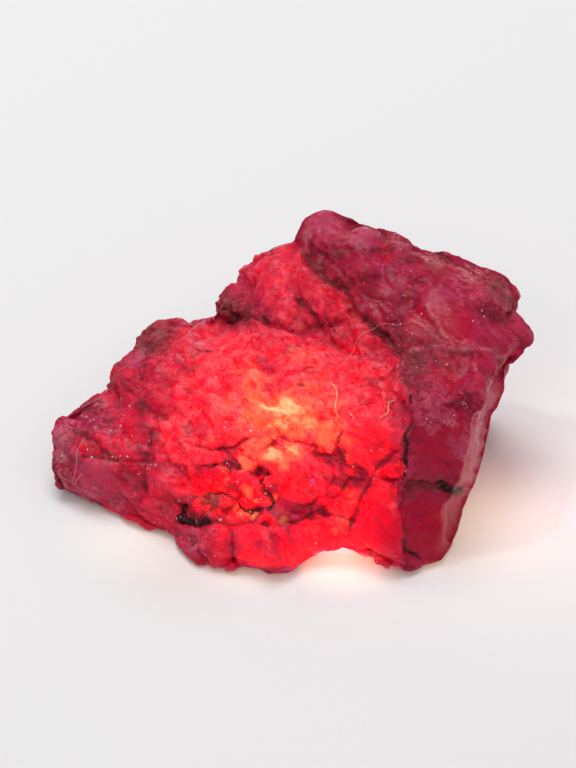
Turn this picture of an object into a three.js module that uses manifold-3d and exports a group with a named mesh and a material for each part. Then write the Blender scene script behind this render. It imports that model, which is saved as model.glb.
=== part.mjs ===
// A raw ruby: one broken lump of corundum, lying on its broad underside.
// It is one solid stone. A thick block at the right (+X) and back ends in a steep, smooth parting
// face at the front; a lower shoulder slopes from it down to the left, and a small arch is broken
// out of the front edge of the underside.
//
// The stone is laid out on a leaning plane, which tips back from the floor. U runs to the right
// along it, V runs up it, and D is the distance out of it, towards the front and above.
// Millimetres, +Z up, the floor at Z = 0 and the origin under the middle of the stone.

import * as THREE from "three";
import { mergeVertices } from "three/addons/utils/BufferGeometryUtils.js";
import Module from "manifold-3d";

const LEAN_DEG = 38; // angle between the line of D and the floor
const HEART_Z = 8; // height of the leaning plane's own origin
const GRID_STEPS = 44; // cells along each side of the front
const BACK_REACH = 32; // how far back the lump goes before its hidden faces are split off
const BACK_TAPER = 0.12; // how much narrower the lump is there, as a share
const BLOCK_SIDE = 120; // side of the blocks that split those faces off
const TIP = 0.8; // how softly the smooth front rounds over each point it passes through
const FACETING = 0.7; // share of each point's own flat facet in the front, the rest being smooth
const FACETS_FROM = 0.4; // how far inside the outline the facets begin
const FACETS_FULL = 2.5; // and where they have their whole share
const SEAM_DEPTH = 0.45; // how deep the seams between facets are
const SEAM_WIDTH = 1.3; // how wide they are, from facet to facet
const FACET_BLEND = 0.35; // how softly one facet passes into the next
const EDGE_ROUND = 0.6; // how far the front falls away at its outline
const EDGE_WIDTH = 1.6; // how far from the outline that fall begins
const BITE_SIDES = 28; // sides round each bite
const BITE_RINGS = 18; // and rings down it
const SAME_PLACE = 1e-4; // corners nearer than this are one corner
const RUBY_RED = 0x9c1436;

// The outline, anticlockwise from the right-hand corner: [U, V, height above the floor].
const OUTLINE = [
  [20.0, 4.7, 12.0], [19.3, 5.9, 12.8], [18.5, 6.7, 13.0], [18.9, 7.9, 13.5], [18.5, 8.7, 14.0],
  [16.9, 9.6, 14.8], [15.0, 10.7, 15.5], [13.2, 11.4, 16.0], [10.5, 12.0, 16.4], [8.4, 13.2, 17.0],
  [5.8, 14.0, 17.0], [4.4, 14.7, 17.3], [3.6, 15.1, 17.5], [2.8, 15.2, 17.5], [1.3, 14.5, 17.0],
  [0.4, 13.0, 15.6], [0.2, 12.6, 14.6], [-1.2, 12.3, 14.0], [-2.5, 11.8, 13.5], [-3.4, 10.6, 12.6],
  [-4.0, 9.0, 11.5], [-5.2, 8.4, 11.0], [-6.0, 7.1, 10.4], [-6.4, 5.9, 9.8], [-8.1, 5.8, 9.6],
  [-9.4, 5.7, 9.4], [-11.5, 5.1, 8.8], [-12.6, 4.3, 8.4], [-13.4, 3.4, 7.8], [-14.7, 2.2, 7.2],
  [-15.2, 1.0, 6.8], [-15.4, 0.1, 6.2], [-16.3, -0.9, 6.2], [-18.2, -1.9, 5.8], [-19.4, -2.8, 5.2],
  [-19.7, -4.3, 4.4], [-19.9, -5.4, 3.6], [-19.8, -7.2, 2.2], [-19.2, -8.3, 1.4], [-17.4, -9.1, 1.0],
  [-15.2, -9.9, 0.9], [-12.9, -11.0, 0.8], [-10.5, -11.8, 0.8], [-9.5, -12.2, 0.8],
  [-9.2, -13.0, 0.8], [-7.8, -13.9, 0.8], [-6.0, -14.6, 0.8], [-3.8, -14.8, 0.8],
  [-1.7, -15.1, 0.8], [0.2, -14.8, 0.8], [1.5, -13.9, 1.0], [2.3, -13.6, 1.2], [3.7, -13.3, 1.5],
  [4.3, -12.9, 1.9], [5.1, -13.2, 1.8], [6.0, -13.9, 1.2], [7.3, -14.4, 0.9], [8.7, -14.7, 0.8],
  [9.7, -14.9, 0.8], [10.8, -14.3, 0.8], [12.4, -13.9, 0.8], [13.4, -12.8, 0.8], [14.0, -11.2, 0.8],
  [14.4, -9.9, 0.9], [15.3, -8.0, 1.6], [16.0, -6.2, 2.6], [16.6, -4.0, 3.8], [17.0, -2.3, 5.0],
  [17.4, -1.4, 6.4], [18.0, 0.8, 9.0], [19.0, 2.3, 10.5], [19.8, 3.7, 11.6],
];

// Points on the front inside the outline, in the same form.
const RELIEF = [
  // the thick block at the right and back
  [3.3, 13.3, 17.0], [5.0, 11.7, 16.6], [8.0, 10.5, 16.2], [5.0, 8.4, 14.9], [9.2, 8.3, 15.6],
  [12.5, 9.0, 16.0], [14.2, 7.5, 15.5], [17.0, 7.0, 14.4], [9.2, 5.4, 14.3], [12.5, 4.2, 14.3],
  [17.3, 4.2, 13.5], [9.6, 2.0, 13.1], [14.0, 1.2, 13.3], [16.8, 0.8, 11.9], [10.2, -1.0, 12.9],
  [12.5, -1.6, 13.0], [15.6, -1.6, 12.2],
  // its steep front face, and the narrow side face at its right
  [10.4, -4.0, 11.4], [14.6, -4.0, 9.9], [12.5, -7.5, 8.0], [14.3, -7.8, 6.4], [10.2, -8.5, 7.1],
  [12.0, -11.5, 3.6], [10.0, -12.6, 2.9], [15.4, -5.2, 6.4],
  // the shoulder's upper knob
  [-0.5, 11.0, 13.6], [-2.2, 9.8, 13.0], [0.8, 9.0, 13.7], [2.8, 7.4, 13.4], [-1.5, 6.9, 12.3],
  [-4.3, 6.3, 10.9],
  // the shoulder itself
  [3.3, 4.6, 12.4], [-0.8, 4.4, 12.0], [6.0, 2.6, 12.5], [-4.2, 4.4, 11.0], [-8.0, 4.0, 9.9],
  [-11.7, 3.3, 8.9], [0.8, 1.6, 11.7], [-3.3, 1.7, 10.9], [-7.5, 1.0, 9.5], [-11.7, 0.0, 8.2],
  [-14.2, 0.8, 7.3], [5.8, -1.7, 10.9], [0.8, -0.8, 10.6], [8.6, -1.2, 11.5], [-3.3, -2.6, 9.2],
  [0.8, -4.2, 8.6], [5.0, -5.0, 8.7], [8.6, -5.0, 9.2], [-7.5, -3.6, 7.4], [-11.7, -2.5, 7.0],
  // the front of the shoulder, down to the knobs along its foot
  [-3.3, -6.6, 6.4], [0.8, -7.5, 6.0], [5.0, -8.3, 5.6], [8.2, -9.0, 5.8], [-7.4, -7.2, 5.0],
  [-7.5, -9.6, 2.9], [-3.3, -9.8, 3.4], [1.0, -10.4, 3.4], [5.0, -11.0, 3.4], [8.0, -12.3, 2.9],
  [-6.2, -12.3, 2.5], [-1.5, -12.8, 2.7],
  // the low block at the left
  [-17.5, -4.2, 5.2], [-15.0, -3.3, 5.9], [-13.3, -6.2, 4.6], [-17.0, -7.4, 2.9],
  [-12.5, -9.2, 2.4], [-10.5, -6.6, 4.8],
];

// Flat parting faces of the front, each as its outward direction and a point on it.
const FRONT_FACES = [
  { out: [0.29, -0.89, 0.34], at: [10.4, -13.7, 1.0] },
];

// Flat parting faces of the hidden back, in the same form, and the flat underside it rests on.
const BACK_FACES = [
  { out: [0.1, 0.95, 0.25], at: [2, 14.2, 11] },
  { out: [0.05, 0.95, -0.3], at: [2, 14.2, 9] },
  { out: [-0.58, 0.8, -0.15], at: [-10, 10.5, 9.3] },
  { out: [0.33, 0.94, -0.1], at: [13, 9.5, 16] },
  { out: [0.9, 0.3, -0.3], at: [18.5, 6, 8] },
  { out: [-0.85, 0.35, -0.4], at: [-19, -1, 3.5] },
  { out: [0, 0, -1], at: [0, 0, 0] },
];

// Lens-shaped bites broken out of the underside: middle and half-sizes. The first makes the arch.
const BITES = [
  { at: [4.4, -14.2, 0], half: [2.6, 6, 1.7] },
  { at: [-9.6, -13.6, 0], half: [1.6, 2.2, 0.7] },
  { at: [-20.5, -2, -0.5], half: [5, 6, 1.7] },
];

const lean = THREE.MathUtils.degToRad(LEAN_DEG);
const sinLean = Math.sin(lean);
const cosLean = Math.cos(lean);

// A point of the leaning plane's frame in the stone's own frame.
function placed(u, v, d) {
  return new THREE.Vector3(u, v * sinLean - d * cosLean, HEART_Z + v * cosLean + d * sinLean);
}

// The D at which the line through (u, v) is at height z.
function depthAtHeight(v, z) {
  return (z - HEART_Z - v * cosLean) / sinLean;
}

// The outline's points with their D, and the side of it that follows each.
const rim = OUTLINE.map(([u, v, z]) => ({ u, v, d: depthAtHeight(v, z) }));
const rimSides = rim.map((from, i) => ({ from, to: rim[(i + 1) % rim.length] }));

// The distance from the middle to the outline in the direction of an angle.
function reachAt(angle) {
  const [cos, sin] = [Math.cos(angle), Math.sin(angle)];
  for (const { from, to } of rimSides) {
    const [before, after] = [from.v * cos - from.u * sin, to.v * cos - to.u * sin];
    if (before > 0 || after <= 0) continue;
    const share = before / (before - after);
    const [u, v] = [from.u + share * (to.u - from.u), from.v + share * (to.v - from.v)];
    if (u * cos + v * sin > 0) return Math.hypot(u, v);
  }
  return 0;
}

// The nearest place on the outline: how far it is from (u, v), and its D.
function nearestOnRim(u, v) {
  let nearest = { gap: Infinity };
  for (const { from, to } of rimSides) {
    const [alongU, alongV] = [to.u - from.u, to.v - from.v];
    const foot = ((u - from.u) * alongU + (v - from.v) * alongV) / (alongU ** 2 + alongV ** 2);
    const share = THREE.MathUtils.clamp(foot, 0, 1);
    const gap = Math.hypot(u - from.u - share * alongU, v - from.v - share * alongV);
    if (gap < nearest.gap) nearest = { gap, d: from.d + share * (to.d - from.d) };
  }
  return nearest;
}

// Solves a square set of linear equations by elimination with pivoting.
function solve(rows, right) {
  const n = right.length;
  const m = rows.map((row, i) => [...row, right[i]]);
  for (let c = 0; c < n; c += 1) {
    let best = c;
    for (let r = c + 1; r < n; r += 1) if (Math.abs(m[r][c]) > Math.abs(m[best][c])) best = r;
    [m[c], m[best]] = [m[best], m[c]];
    for (let r = c + 1; r < n; r += 1) {
      const share = m[r][c] / m[c][c];
      for (let k = c; k <= n; k += 1) m[r][k] -= share * m[c][k];
    }
  }
  const found = new Array(n).fill(0);
  for (let r = n - 1; r >= 0; r -= 1) {
    let sum = m[r][n];
    for (let k = r + 1; k < n; k += 1) sum -= m[r][k] * found[k];
    found[r] = sum / m[r][r];
  }
  return found;
}

// The front passes through every outline and relief point: a sum of cones over those points, each
// with a softened tip, plus a slanting plane.
const knots = [...rim, ...RELIEF.map(([u, v, z]) => ({ u, v, d: depthAtHeight(v, z) }))];
const cone = (u, v, knot) => Math.hypot(u - knot.u, v - knot.v, TIP);
const knotRows = knots.map((p) => [...knots.map((q) => cone(p.u, p.v, q)), 1, p.u, p.v]);
const planeRows = [() => 1, (q) => q.u, (q) => q.v].map((f) => [...knots.map(f), 0, 0, 0]);
const weights = solve([...knotRows, ...planeRows], [...knots.map((q) => q.d), 0, 0, 0]);

const [level, slopeU, slopeV] = weights.slice(knots.length);

function smoothDepth(u, v) {
  return knots.reduce((d, q, i) => d + weights[i] * cone(u, v, q), level + slopeU * u + slopeV * v);
}

// Each relief point carries a flat facet, which touches the smooth front there.
const facets = knots.slice(OUTLINE.length).map(({ u, v, d }) => ({
  u,
  v,
  d,
  alongU: knots.reduce((sum, q, i) => sum + (weights[i] * (u - q.u)) / cone(u, v, q), slopeU),
  alongV: knots.reduce((sum, q, i) => sum + (weights[i] * (v - q.v)) / cone(u, v, q), slopeV),
}));

// The facets nearest to (u, v), blended, and worn down into a seam where two are as near.
function facetDepth(u, v) {
  const gaps = facets.map((f) => Math.hypot(u - f.u, v - f.v));
  const nearest = Math.min(...gaps);
  const second = Math.min(...gaps.filter((gap) => gap > nearest));
  const shares = gaps.map((gap) => Math.exp((nearest - gap) / FACET_BLEND));
  const total = shares.reduce((sum, share) => sum + share);
  const flat = facets.reduce(
    (sum, f, i) => sum + shares[i] * (f.d + f.alongU * (u - f.u) + f.alongV * (v - f.v)),
    0,
  );
  return flat / total - SEAM_DEPTH * Math.max(0, 1 - (second - nearest) / SEAM_WIDTH) ** 2;
}

// The D at which the line through (u, v) meets a flat face.
function faceDepth(u, v, { out, at }) {
  const normal = new THREE.Vector3(...out);
  const along = placed(0, 0, 1).sub(placed(0, 0, 0));
  return normal.dot(new THREE.Vector3(...at).sub(placed(u, v, 0))) / normal.dot(along);
}

// Facets fade into the smooth front, and that into the outline, where it falls away a little.
function frontDepth(u, v) {
  const { gap, d: rimDepth } = nearestOnRim(u, v);
  const faceted = FACETING * THREE.MathUtils.smoothstep(gap, FACETS_FROM, FACETS_FULL);
  const relief = THREE.MathUtils.lerp(smoothDepth(u, v), facetDepth(u, v), faceted);
  const flat = Math.min(relief, ...FRONT_FACES.map((face) => faceDepth(u, v, face)));
  const edge = 1 - THREE.MathUtils.smoothstep(gap, 0, EDGE_WIDTH);
  return THREE.MathUtils.lerp(flat, rimDepth, edge) - EDGE_ROUND * edge ** 2;
}

// Rings of the square grid become outlines of the stone: the ring's number over the last one is how
// far out it lies, and the direction from the middle stays the same.
function spread(s, t) {
  const angle = Math.atan2(t, s);
  const far = Math.max(Math.abs(s), Math.abs(t)) * reachAt(angle);
  return [far * Math.cos(angle), far * Math.sin(angle)];
}

function frontPoint(s, t) {
  const [u, v] = spread(s, t);
  return placed(u, v, frontDepth(u, v));
}

// The edge of the square, anticlockwise.
function squareEdge() {
  const side = Array.from({ length: GRID_STEPS }, (_, i) => (2 * i) / GRID_STEPS - 1);
  return [
    ...side.map((k) => [k, -1]),
    ...side.map((k) => [1, k]),
    ...side.map((k) => [-k, 1]),
    ...side.map((k) => [-1, -k]),
  ];
}

// The lump before its hidden faces are split off: the front, a wall that runs back along D from the
// outline, and a flat end. Each cell of the front is halved by the line nearer to the middle's.
function lumpTriangles() {
  const triangles = [];
  for (let j = 0; j < GRID_STEPS; j += 1)
    for (let i = 0; i < GRID_STEPS; i += 1) {
      const [s, t] = [(2 * i) / GRID_STEPS - 1, (2 * j) / GRID_STEPS - 1];
      const [nextS, nextT] = [(2 * (i + 1)) / GRID_STEPS - 1, (2 * (j + 1)) / GRID_STEPS - 1];
      const [a, b] = [frontPoint(s, t), frontPoint(nextS, t)];
      const [c, d] = [frontPoint(nextS, nextT), frontPoint(s, nextT)];
      const sameSigns = (s + nextS) * (t + nextT) > 0;
      triangles.push(...(sameSigns ? [a, b, c, a, c, d] : [a, b, d, b, c, d]));
    }
  const edge = squareEdge();
  const end = placed(0, 0, -BACK_REACH);
  edge.forEach(([s, t], i) => {
    const [nextS, nextT] = edge[(i + 1) % edge.length];
    const [a, b] = [frontPoint(s, t), frontPoint(nextS, nextT)];
    const [c, d] = [spread(nextS, nextT), spread(s, t)].map(([u, v]) =>
      placed(u * (1 - BACK_TAPER), v * (1 - BACK_TAPER), -BACK_REACH),
    );
    triangles.push(a, c, b, a, d, c, d, end, c);
  });
  return triangles;
}

function lumpGeometry() {
  return new THREE.BufferGeometry().setFromPoints(lumpTriangles());
}

// Everything beyond a flat face, as a block standing on it.
function blockBeyond({ out, at }) {
  const block = new THREE.BoxGeometry(BLOCK_SIDE, BLOCK_SIDE, BLOCK_SIDE);
  block.translate(0, 0, BLOCK_SIDE / 2);
  const direction = new THREE.Vector3(...out).normalize();
  block.applyQuaternion(
    new THREE.Quaternion().setFromUnitVectors(new THREE.Vector3(0, 0, 1), direction),
  );
  return block.translate(...at);
}

function biteGeometry({ at, half }) {
  return new THREE.SphereGeometry(1, BITE_SIDES, BITE_RINGS).scale(...half).translate(...at);
}

// A closed geometry as a manifold-3d solid, once its shared corners are merged.
function solidFrom(wasm, geometry) {
  geometry.deleteAttribute("normal");
  geometry.deleteAttribute("uv");
  const merged = mergeVertices(geometry, SAME_PLACE);
  return new wasm.Manifold(
    new wasm.Mesh({
      numProp: 3,
      vertProperties: new Float32Array(merged.attributes.position.array),
      triVerts: new Uint32Array(merged.index.array),
    }),
  );
}

const wasm = await Module();
wasm.setup();

const lost = [...BACK_FACES.map(blockBeyond), ...BITES.map(biteGeometry)];
const stone = lost.reduce(
  (left, geometry) => left.subtract(solidFrom(wasm, geometry)),
  solidFrom(wasm, lumpGeometry()),
);

const { vertProperties, triVerts } = stone.getMesh();
const rubyGeometry = new THREE.BufferGeometry();
rubyGeometry.setAttribute("position", new THREE.BufferAttribute(vertProperties, 3));
rubyGeometry.setIndex(new THREE.BufferAttribute(triVerts, 1));
rubyGeometry.computeBoundingBox();
const middle = rubyGeometry.boundingBox.getCenter(new THREE.Vector3());
rubyGeometry.translate(-middle.x, -middle.y, 0);

const ruby = new THREE.Mesh(
  rubyGeometry,
  new THREE.MeshStandardMaterial({ color: RUBY_RED, roughness: 0.45, metalness: 0 }),
);
ruby.name = "raw_ruby_crystal";

const part = new THREE.Group();
part.add(ruby);

export default part;
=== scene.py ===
# A raw ruby lying on a pale table. A small lamp let into the table under it shines up through it.
import functools
import itertools
import math

import bpy
import numpy as np
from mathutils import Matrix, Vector


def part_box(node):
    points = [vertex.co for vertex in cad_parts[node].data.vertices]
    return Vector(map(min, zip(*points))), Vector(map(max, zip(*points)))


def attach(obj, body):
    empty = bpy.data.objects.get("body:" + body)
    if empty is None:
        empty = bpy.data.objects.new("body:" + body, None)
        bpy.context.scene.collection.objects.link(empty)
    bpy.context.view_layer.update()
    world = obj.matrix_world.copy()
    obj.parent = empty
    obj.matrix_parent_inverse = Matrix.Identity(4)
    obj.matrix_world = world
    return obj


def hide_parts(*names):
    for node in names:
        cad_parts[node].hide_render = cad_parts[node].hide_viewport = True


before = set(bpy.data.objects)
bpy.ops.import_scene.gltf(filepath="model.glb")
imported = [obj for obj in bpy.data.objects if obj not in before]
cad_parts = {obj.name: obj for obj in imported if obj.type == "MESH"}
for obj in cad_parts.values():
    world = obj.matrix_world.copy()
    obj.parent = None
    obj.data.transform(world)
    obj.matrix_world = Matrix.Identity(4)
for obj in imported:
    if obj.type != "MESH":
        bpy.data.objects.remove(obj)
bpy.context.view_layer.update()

# ------------------------------
# The ruby. One lump of corundum as it was broken out of its bed, unpolished: clear enough at the
# shoulder for light to pass, cloudy and darker in the thick block, with brown matrix left in its
# cracks and a dusty bloom on its weathered skin. Part of its colour is painted light: lit reds
# where the lamp shines through, a painted hot glow over it, a painted sheen and painted highlights.

MM = 0.001
LEAN = math.radians(38)  # the plane it is laid out on tips back from the table by this much
HEART_Z = 8.0  # height of that plane's own origin, mm

# The outline on the leaning plane, anticlockwise from the right-hand corner, in mm:
# along U (to the right), up V, and height above the table.
OUTLINE = np.array([
    (20.0, 4.7, 12.0), (19.3, 5.9, 12.8), (18.5, 6.7, 13.0), (18.9, 7.9, 13.5), (18.5, 8.7, 14.0),
    (16.9, 9.6, 14.8), (15.0, 10.7, 15.5), (13.2, 11.4, 16.0), (10.5, 12.0, 16.4), (8.4, 13.2, 17.0),
    (5.8, 14.0, 17.0), (4.4, 14.7, 17.3), (3.6, 15.1, 17.5), (2.8, 15.2, 17.5), (1.3, 14.5, 17.0),
    (0.4, 13.0, 15.6), (0.2, 12.6, 14.6), (-1.2, 12.3, 14.0), (-2.5, 11.8, 13.5), (-3.4, 10.6, 12.6),
    (-4.0, 9.0, 11.5), (-5.2, 8.4, 11.0), (-6.0, 7.1, 10.4), (-6.4, 5.9, 9.8), (-8.1, 5.8, 9.6),
    (-9.4, 5.7, 9.4), (-11.5, 5.1, 8.8), (-12.6, 4.3, 8.4), (-13.4, 3.4, 7.8), (-14.7, 2.2, 7.2),
    (-15.2, 1.0, 6.8), (-15.4, 0.1, 6.2), (-16.3, -0.9, 6.2), (-18.2, -1.9, 5.8), (-19.4, -2.8, 5.2),
    (-19.7, -4.3, 4.4), (-19.9, -5.4, 3.6), (-19.8, -7.2, 2.2), (-19.2, -8.3, 1.4), (-17.4, -9.1, 1.0),
    (-15.2, -9.9, 0.9), (-12.9, -11.0, 0.8), (-10.5, -11.8, 0.8), (-9.5, -12.2, 0.8),
    (-9.2, -13.0, 0.8), (-7.8, -13.9, 0.8), (-6.0, -14.6, 0.8), (-3.8, -14.8, 0.8),
    (-1.7, -15.1, 0.8), (0.2, -14.8, 0.8), (1.5, -13.9, 1.0), (2.3, -13.6, 1.2), (3.7, -13.3, 1.5),
    (4.3, -12.9, 1.9), (5.1, -13.2, 1.8), (6.0, -13.9, 1.2), (7.3, -14.4, 0.9), (8.7, -14.7, 0.8),
    (9.7, -14.9, 0.8), (10.8, -14.3, 0.8), (12.4, -13.9, 0.8), (13.4, -12.8, 0.8), (14.0, -11.2, 0.8),
    (14.4, -9.9, 0.9), (15.3, -8.0, 1.6), (16.0, -6.2, 2.6), (16.6, -4.0, 3.8), (17.0, -2.3, 5.0),
    (17.4, -1.4, 6.4), (18.0, 0.8, 9.0), (19.0, 2.3, 10.5), (19.8, 3.7, 11.6),
])

# Points of the front inside the outline, in the same form.
RELIEF = np.array([
    # the thick block at the right and back
    (3.3, 13.3, 17.0), (5.0, 11.7, 16.6), (8.0, 10.5, 16.2), (5.0, 8.4, 14.9), (9.2, 8.3, 15.6),
    (12.5, 9.0, 16.0), (14.2, 7.5, 15.5), (17.0, 7.0, 14.4), (9.2, 5.4, 14.3), (12.5, 4.2, 14.3),
    (17.3, 4.2, 13.5), (9.6, 2.0, 13.1), (14.0, 1.2, 13.3), (16.8, 0.8, 11.9), (10.2, -1.0, 12.9),
    (12.5, -1.6, 13.0), (15.6, -1.6, 12.2),
    # its steep front face, and the narrow side face at its right
    (10.4, -4.0, 11.4), (14.6, -4.0, 9.9), (12.5, -7.5, 8.0), (14.3, -7.8, 6.4), (10.2, -8.5, 7.1),
    (12.0, -11.5, 3.6), (10.0, -12.6, 2.9), (15.4, -5.2, 6.4),
    # the shoulder's upper knob
    (-0.5, 11.0, 13.6), (-2.2, 9.8, 13.0), (0.8, 9.0, 13.7), (2.8, 7.4, 13.4), (-1.5, 6.9, 12.3),
    (-4.3, 6.3, 10.9),
    # the shoulder itself
    (3.3, 4.6, 12.4), (-0.8, 4.4, 12.0), (6.0, 2.6, 12.5), (-4.2, 4.4, 11.0), (-8.0, 4.0, 9.9),
    (-11.7, 3.3, 8.9), (0.8, 1.6, 11.7), (-3.3, 1.7, 10.9), (-7.5, 1.0, 9.5), (-11.7, 0.0, 8.2),
    (-14.2, 0.8, 7.3), (5.8, -1.7, 10.9), (0.8, -0.8, 10.6), (8.6, -1.2, 11.5), (-3.3, -2.6, 9.2),
    (0.8, -4.2, 8.6), (5.0, -5.0, 8.7), (8.6, -5.0, 9.2), (-7.5, -3.6, 7.4), (-11.7, -2.5, 7.0),
    # the front of the shoulder, down to the knobs along its foot
    (-3.3, -6.6, 6.4), (0.8, -7.5, 6.0), (5.0, -8.3, 5.6), (8.2, -9.0, 5.8), (-7.4, -7.2, 5.0),
    (-7.5, -9.6, 2.9), (-3.3, -9.8, 3.4), (1.0, -10.4, 3.4), (5.0, -11.0, 3.4), (8.0, -12.3, 2.9),
    (-6.2, -12.3, 2.5), (-1.5, -12.8, 2.7),
    # the low block at the left
    (-17.5, -4.2, 5.2), (-15.0, -3.3, 5.9), (-13.3, -6.2, 4.6), (-17.0, -7.4, 2.9),
    (-12.5, -9.2, 2.4), (-10.5, -6.6, 4.8),
])

# Flat parting faces: outward direction, and a point on the face in mm.
FRONT_FACES = [((0.29, -0.89, 0.34), (10.4, -13.7, 1.0))]
BACK_FACES = [
    ((0.1, 0.95, 0.25), (2, 14.2, 11)),
    ((0.05, 0.95, -0.3), (2, 14.2, 9)),
    ((-0.58, 0.8, -0.15), (-10, 10.5, 9.3)),
    ((0.33, 0.94, -0.1), (13, 9.5, 16)),
    ((0.9, 0.3, -0.3), (18.5, 6, 8)),
    ((-0.85, 0.35, -0.4), (-19, -1, 3.5)),
    ((0, 0, -1), (0, 0, 0)),
]

# Crevices on the front, and ribs where the depth is less than nothing: depth and half-width in mm,
# how brown their filling is, how much black dirt they hold, and their course.
CREVICES = [
    (0.45, 0.32, 0.8, 0.3, [(0.9, 11.8), (2.4, 9.9), (4.6, 8.0), (6.0, 5.8), (8.0, 4.4),
        (9.6, 2.4)]),
    (0.25, 0.09, 0.1, 1.3, [(9.9, -0.2), (9.85, -1.1), (9.7, -2.4), (9.6, -3.6), (9.5, -5.4),
        (9.4, -7.7)]),
    (0.2, 0.13, 0.2, 1.0, [(9.4, -5.5), (9.3, -6.6), (9.4, -8.0)]),
    (0.15, 0.12, 0.0, 0.2, [(9.4, -7.6), (9.2, -9.2), (9.2, -11.0), (9.3, -12.6), (9.6, -13.4)]),
    (0.15, 0.22, 1.0, 0.3, [(9.5, -7.7), (11.3, -7.8), (12.5, -7.9)]),
    (0.35, 0.34, 0.5, 1.8, [(12.0, -7.6), (12.8, -8.0), (13.4, -8.3), (14.2, -8.4), (14.6, -8.3)]),
    (0.42, 0.27, 0.55, 0.25, [(-6.2, 6.2), (-4.2, 6.2), (-1.7, 5.6), (0.8, 5.2), (3.3, 5.4),
        (5.6, 5.4)]),
    (0.2, 0.18, 0.6, 0.15, [(-12.6, -0.9), (-11.4, -1.7), (-10.2, -2.5)]),
    (0.2, 0.12, 0.3, 0.5, [(-8.2, -4.3), (-6.6, -4.9), (-4.4, -4.6), (-3.0, -4.0)]),
    (0.15, 0.12, 0.2, 0.3, [(-17.8, -5.7), (-16.3, -5.5), (-14.7, -5.7), (-12.7, -5.9),
        (-11.8, -6.0)]),
    (0.45, 0.5, 0.5, 1.0, [(-9.4, -10.5), (-8.6, -10.9), (-7.8, -10.9), (-6.4, -10.9)]),
    (0.2, 0.16, 0.3, 0.8, [(-8.6, -9.4), (-8.8, -10.6)]),
    (0.3, 0.16, 0.5, 0.35, [(-7.4, -10.9), (-5.2, -11.2), (-3.0, -11.3), (-1.2, -11.2)]),
    (0.2, 0.16, 0.4, 0.6, [(-5.6, -6.1), (-4.8, -6.4), (-4.2, -7.4)]),
    (0.25, 0.13, 0.2, 0.35, [(-4.7, -11.5), (-4.8, -13.0), (-4.7, -14.7)]),
    (0.15, 0.11, 0.2, 0.3, [(-2.6, -5.2), (-0.7, -3.8), (1.3, -4.3), (2.2, -4.8), (1.8, -5.4)]),
    (0.25, 0.11, 0.0, 0.35, [(1.5, -5.2), (3.4, -5.6), (4.1, -5.8), (5.4, -6.5), (6.7, -7.0)]),
    (0.25, 0.12, 0.1, 0.3, [(6.6, -7.0), (7.9, -7.3), (9.2, -7.5)]),
    (0.25, 0.12, 0.0, 0.2, [(6.7, -7.0), (8.1, -5.5), (9.2, -4.8)]),
    (0.12, 0.08, 0.0, 0.0, [(4.1, -5.8), (3.8, -4.6), (4.4, -3.2)]),
    (0.25, 0.14, 0.0, 0.35, [(6.7, -7.0), (5.7, -9.4), (4.6, -12.4)]),
    (0.12, 0.09, 0.0, 0.1, [(2.3, -10.1), (4.6, -10.6), (5.7, -10.8)]),
    (0.12, 0.09, 0.0, 0.1, [(2.6, -8.5), (4.3, -8.8), (5.7, -8.9)]),
    (0.16, 0.1, 0.0, 0.25, [(-0.9, -11.3), (0.9, -10.8), (2.3, -10.1), (3.4, -9.3), (4.7, -7.6),
        (6.4, -7.1)]),
    (0.14, 0.09, 0.0, 0.15, [(0.6, -9.6), (2.0, -9.3), (3.2, -8.2), (3.6, -6.6)]),
    (0.2, 0.18, 0.2, 0.6, [(8.8, -11.9), (9.3, -12.8), (10.0, -13.5), (10.9, -14.0)]),
    (0.2, 0.13, 0.35, 0.6, [(-2.6, -5.9), (-1.9, -6.6), (-2.3, -7.4), (-1.7, -8.4), (-1.2, -9.3),
        (-1.9, -10.4)]),
    (0.15, 0.11, 0.3, 0.5, [(-7.6, -6.0), (-6.2, -6.3), (-5.0, -5.9), (-3.4, -6.5), (-1.9, -6.6)]),
    (0.15, 0.11, 0.3, 0.6, [(-4.2, -7.2), (-3.8, -8.4), (-4.6, -9.4), (-3.6, -10.2),
        (-2.0, -10.0)]),
    (0.15, 0.11, 0.3, 0.5, [(-7.2, -8.9), (-5.6, -8.6), (-4.6, -9.4), (-5.4, -10.6)]),
    (0.1, 0.2, 0.15, 0.0, [(9.6, 4.4), (12.0, 3.4), (15.0, 2.8), (18.6, 2.2)]),
    (0.2, 0.14, 0.2, 0.3, [(2.2, 11.9), (3.4, 10.8), (4.7, 9.6), (5.6, 8.2)]),
    (0.3, 0.2, 0.1, 0.3, [(6.6, 11.5), (7.6, 11.4), (9.0, 11.7)]),
    (0.25, 0.2, 0.3, 0.4, [(0.3, 7.9), (1.6, 6.9), (2.6, 5.9)]),
    (0.15, 0.13, 0.1, 0.15, [(-11.4, -2.9), (-11.9, -4.6), (-12.1, -6.2), (-12.3, -8.6)]),
    (-0.18, 0.14, 0.0, 0.0, [(11.2, 7.2), (11.6, 6.4), (12.4, 5.0), (13.2, 3.9)]),
    (-0.14, 0.12, 0.0, 0.0, [(9.8, 5.8), (11.0, 5.3), (12.2, 4.2), (12.8, 3.6)]),
    (-0.2, 0.16, 0.0, 0.0, [(4.2, 12.4), (5.4, 13.1), (7.0, 12.9), (8.4, 12.0), (10.2, 11.4)]),
    (-0.2, 0.16, 0.0, 0.0, [(10.2, 11.2), (12.0, 10.6), (13.6, 10.3), (15.4, 9.2)]),
    (-0.16, 0.14, 0.0, 0.0, [(9.6, 2.9), (11.4, 3.6), (14.0, 3.2), (17.0, 3.4)]),
    (-0.16, 0.14, 0.0, 0.0, [(15.7, -2.9), (15.6, -4.4), (15.2, -6.2), (14.6, -8.0)]),
]
LINE_REACH = 0.5  # mm on either side of a crevice over which its distance is kept
LINE_WANDER = 0.4  # mm by which a crevice strays from its course
NARROWEST_CUT = 0.17  # half-width of the narrowest cut or rib that the mesh can carry, mm
DIM_REACH = 0.9  # mm on either side of a clean joint over which less light comes through
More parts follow.
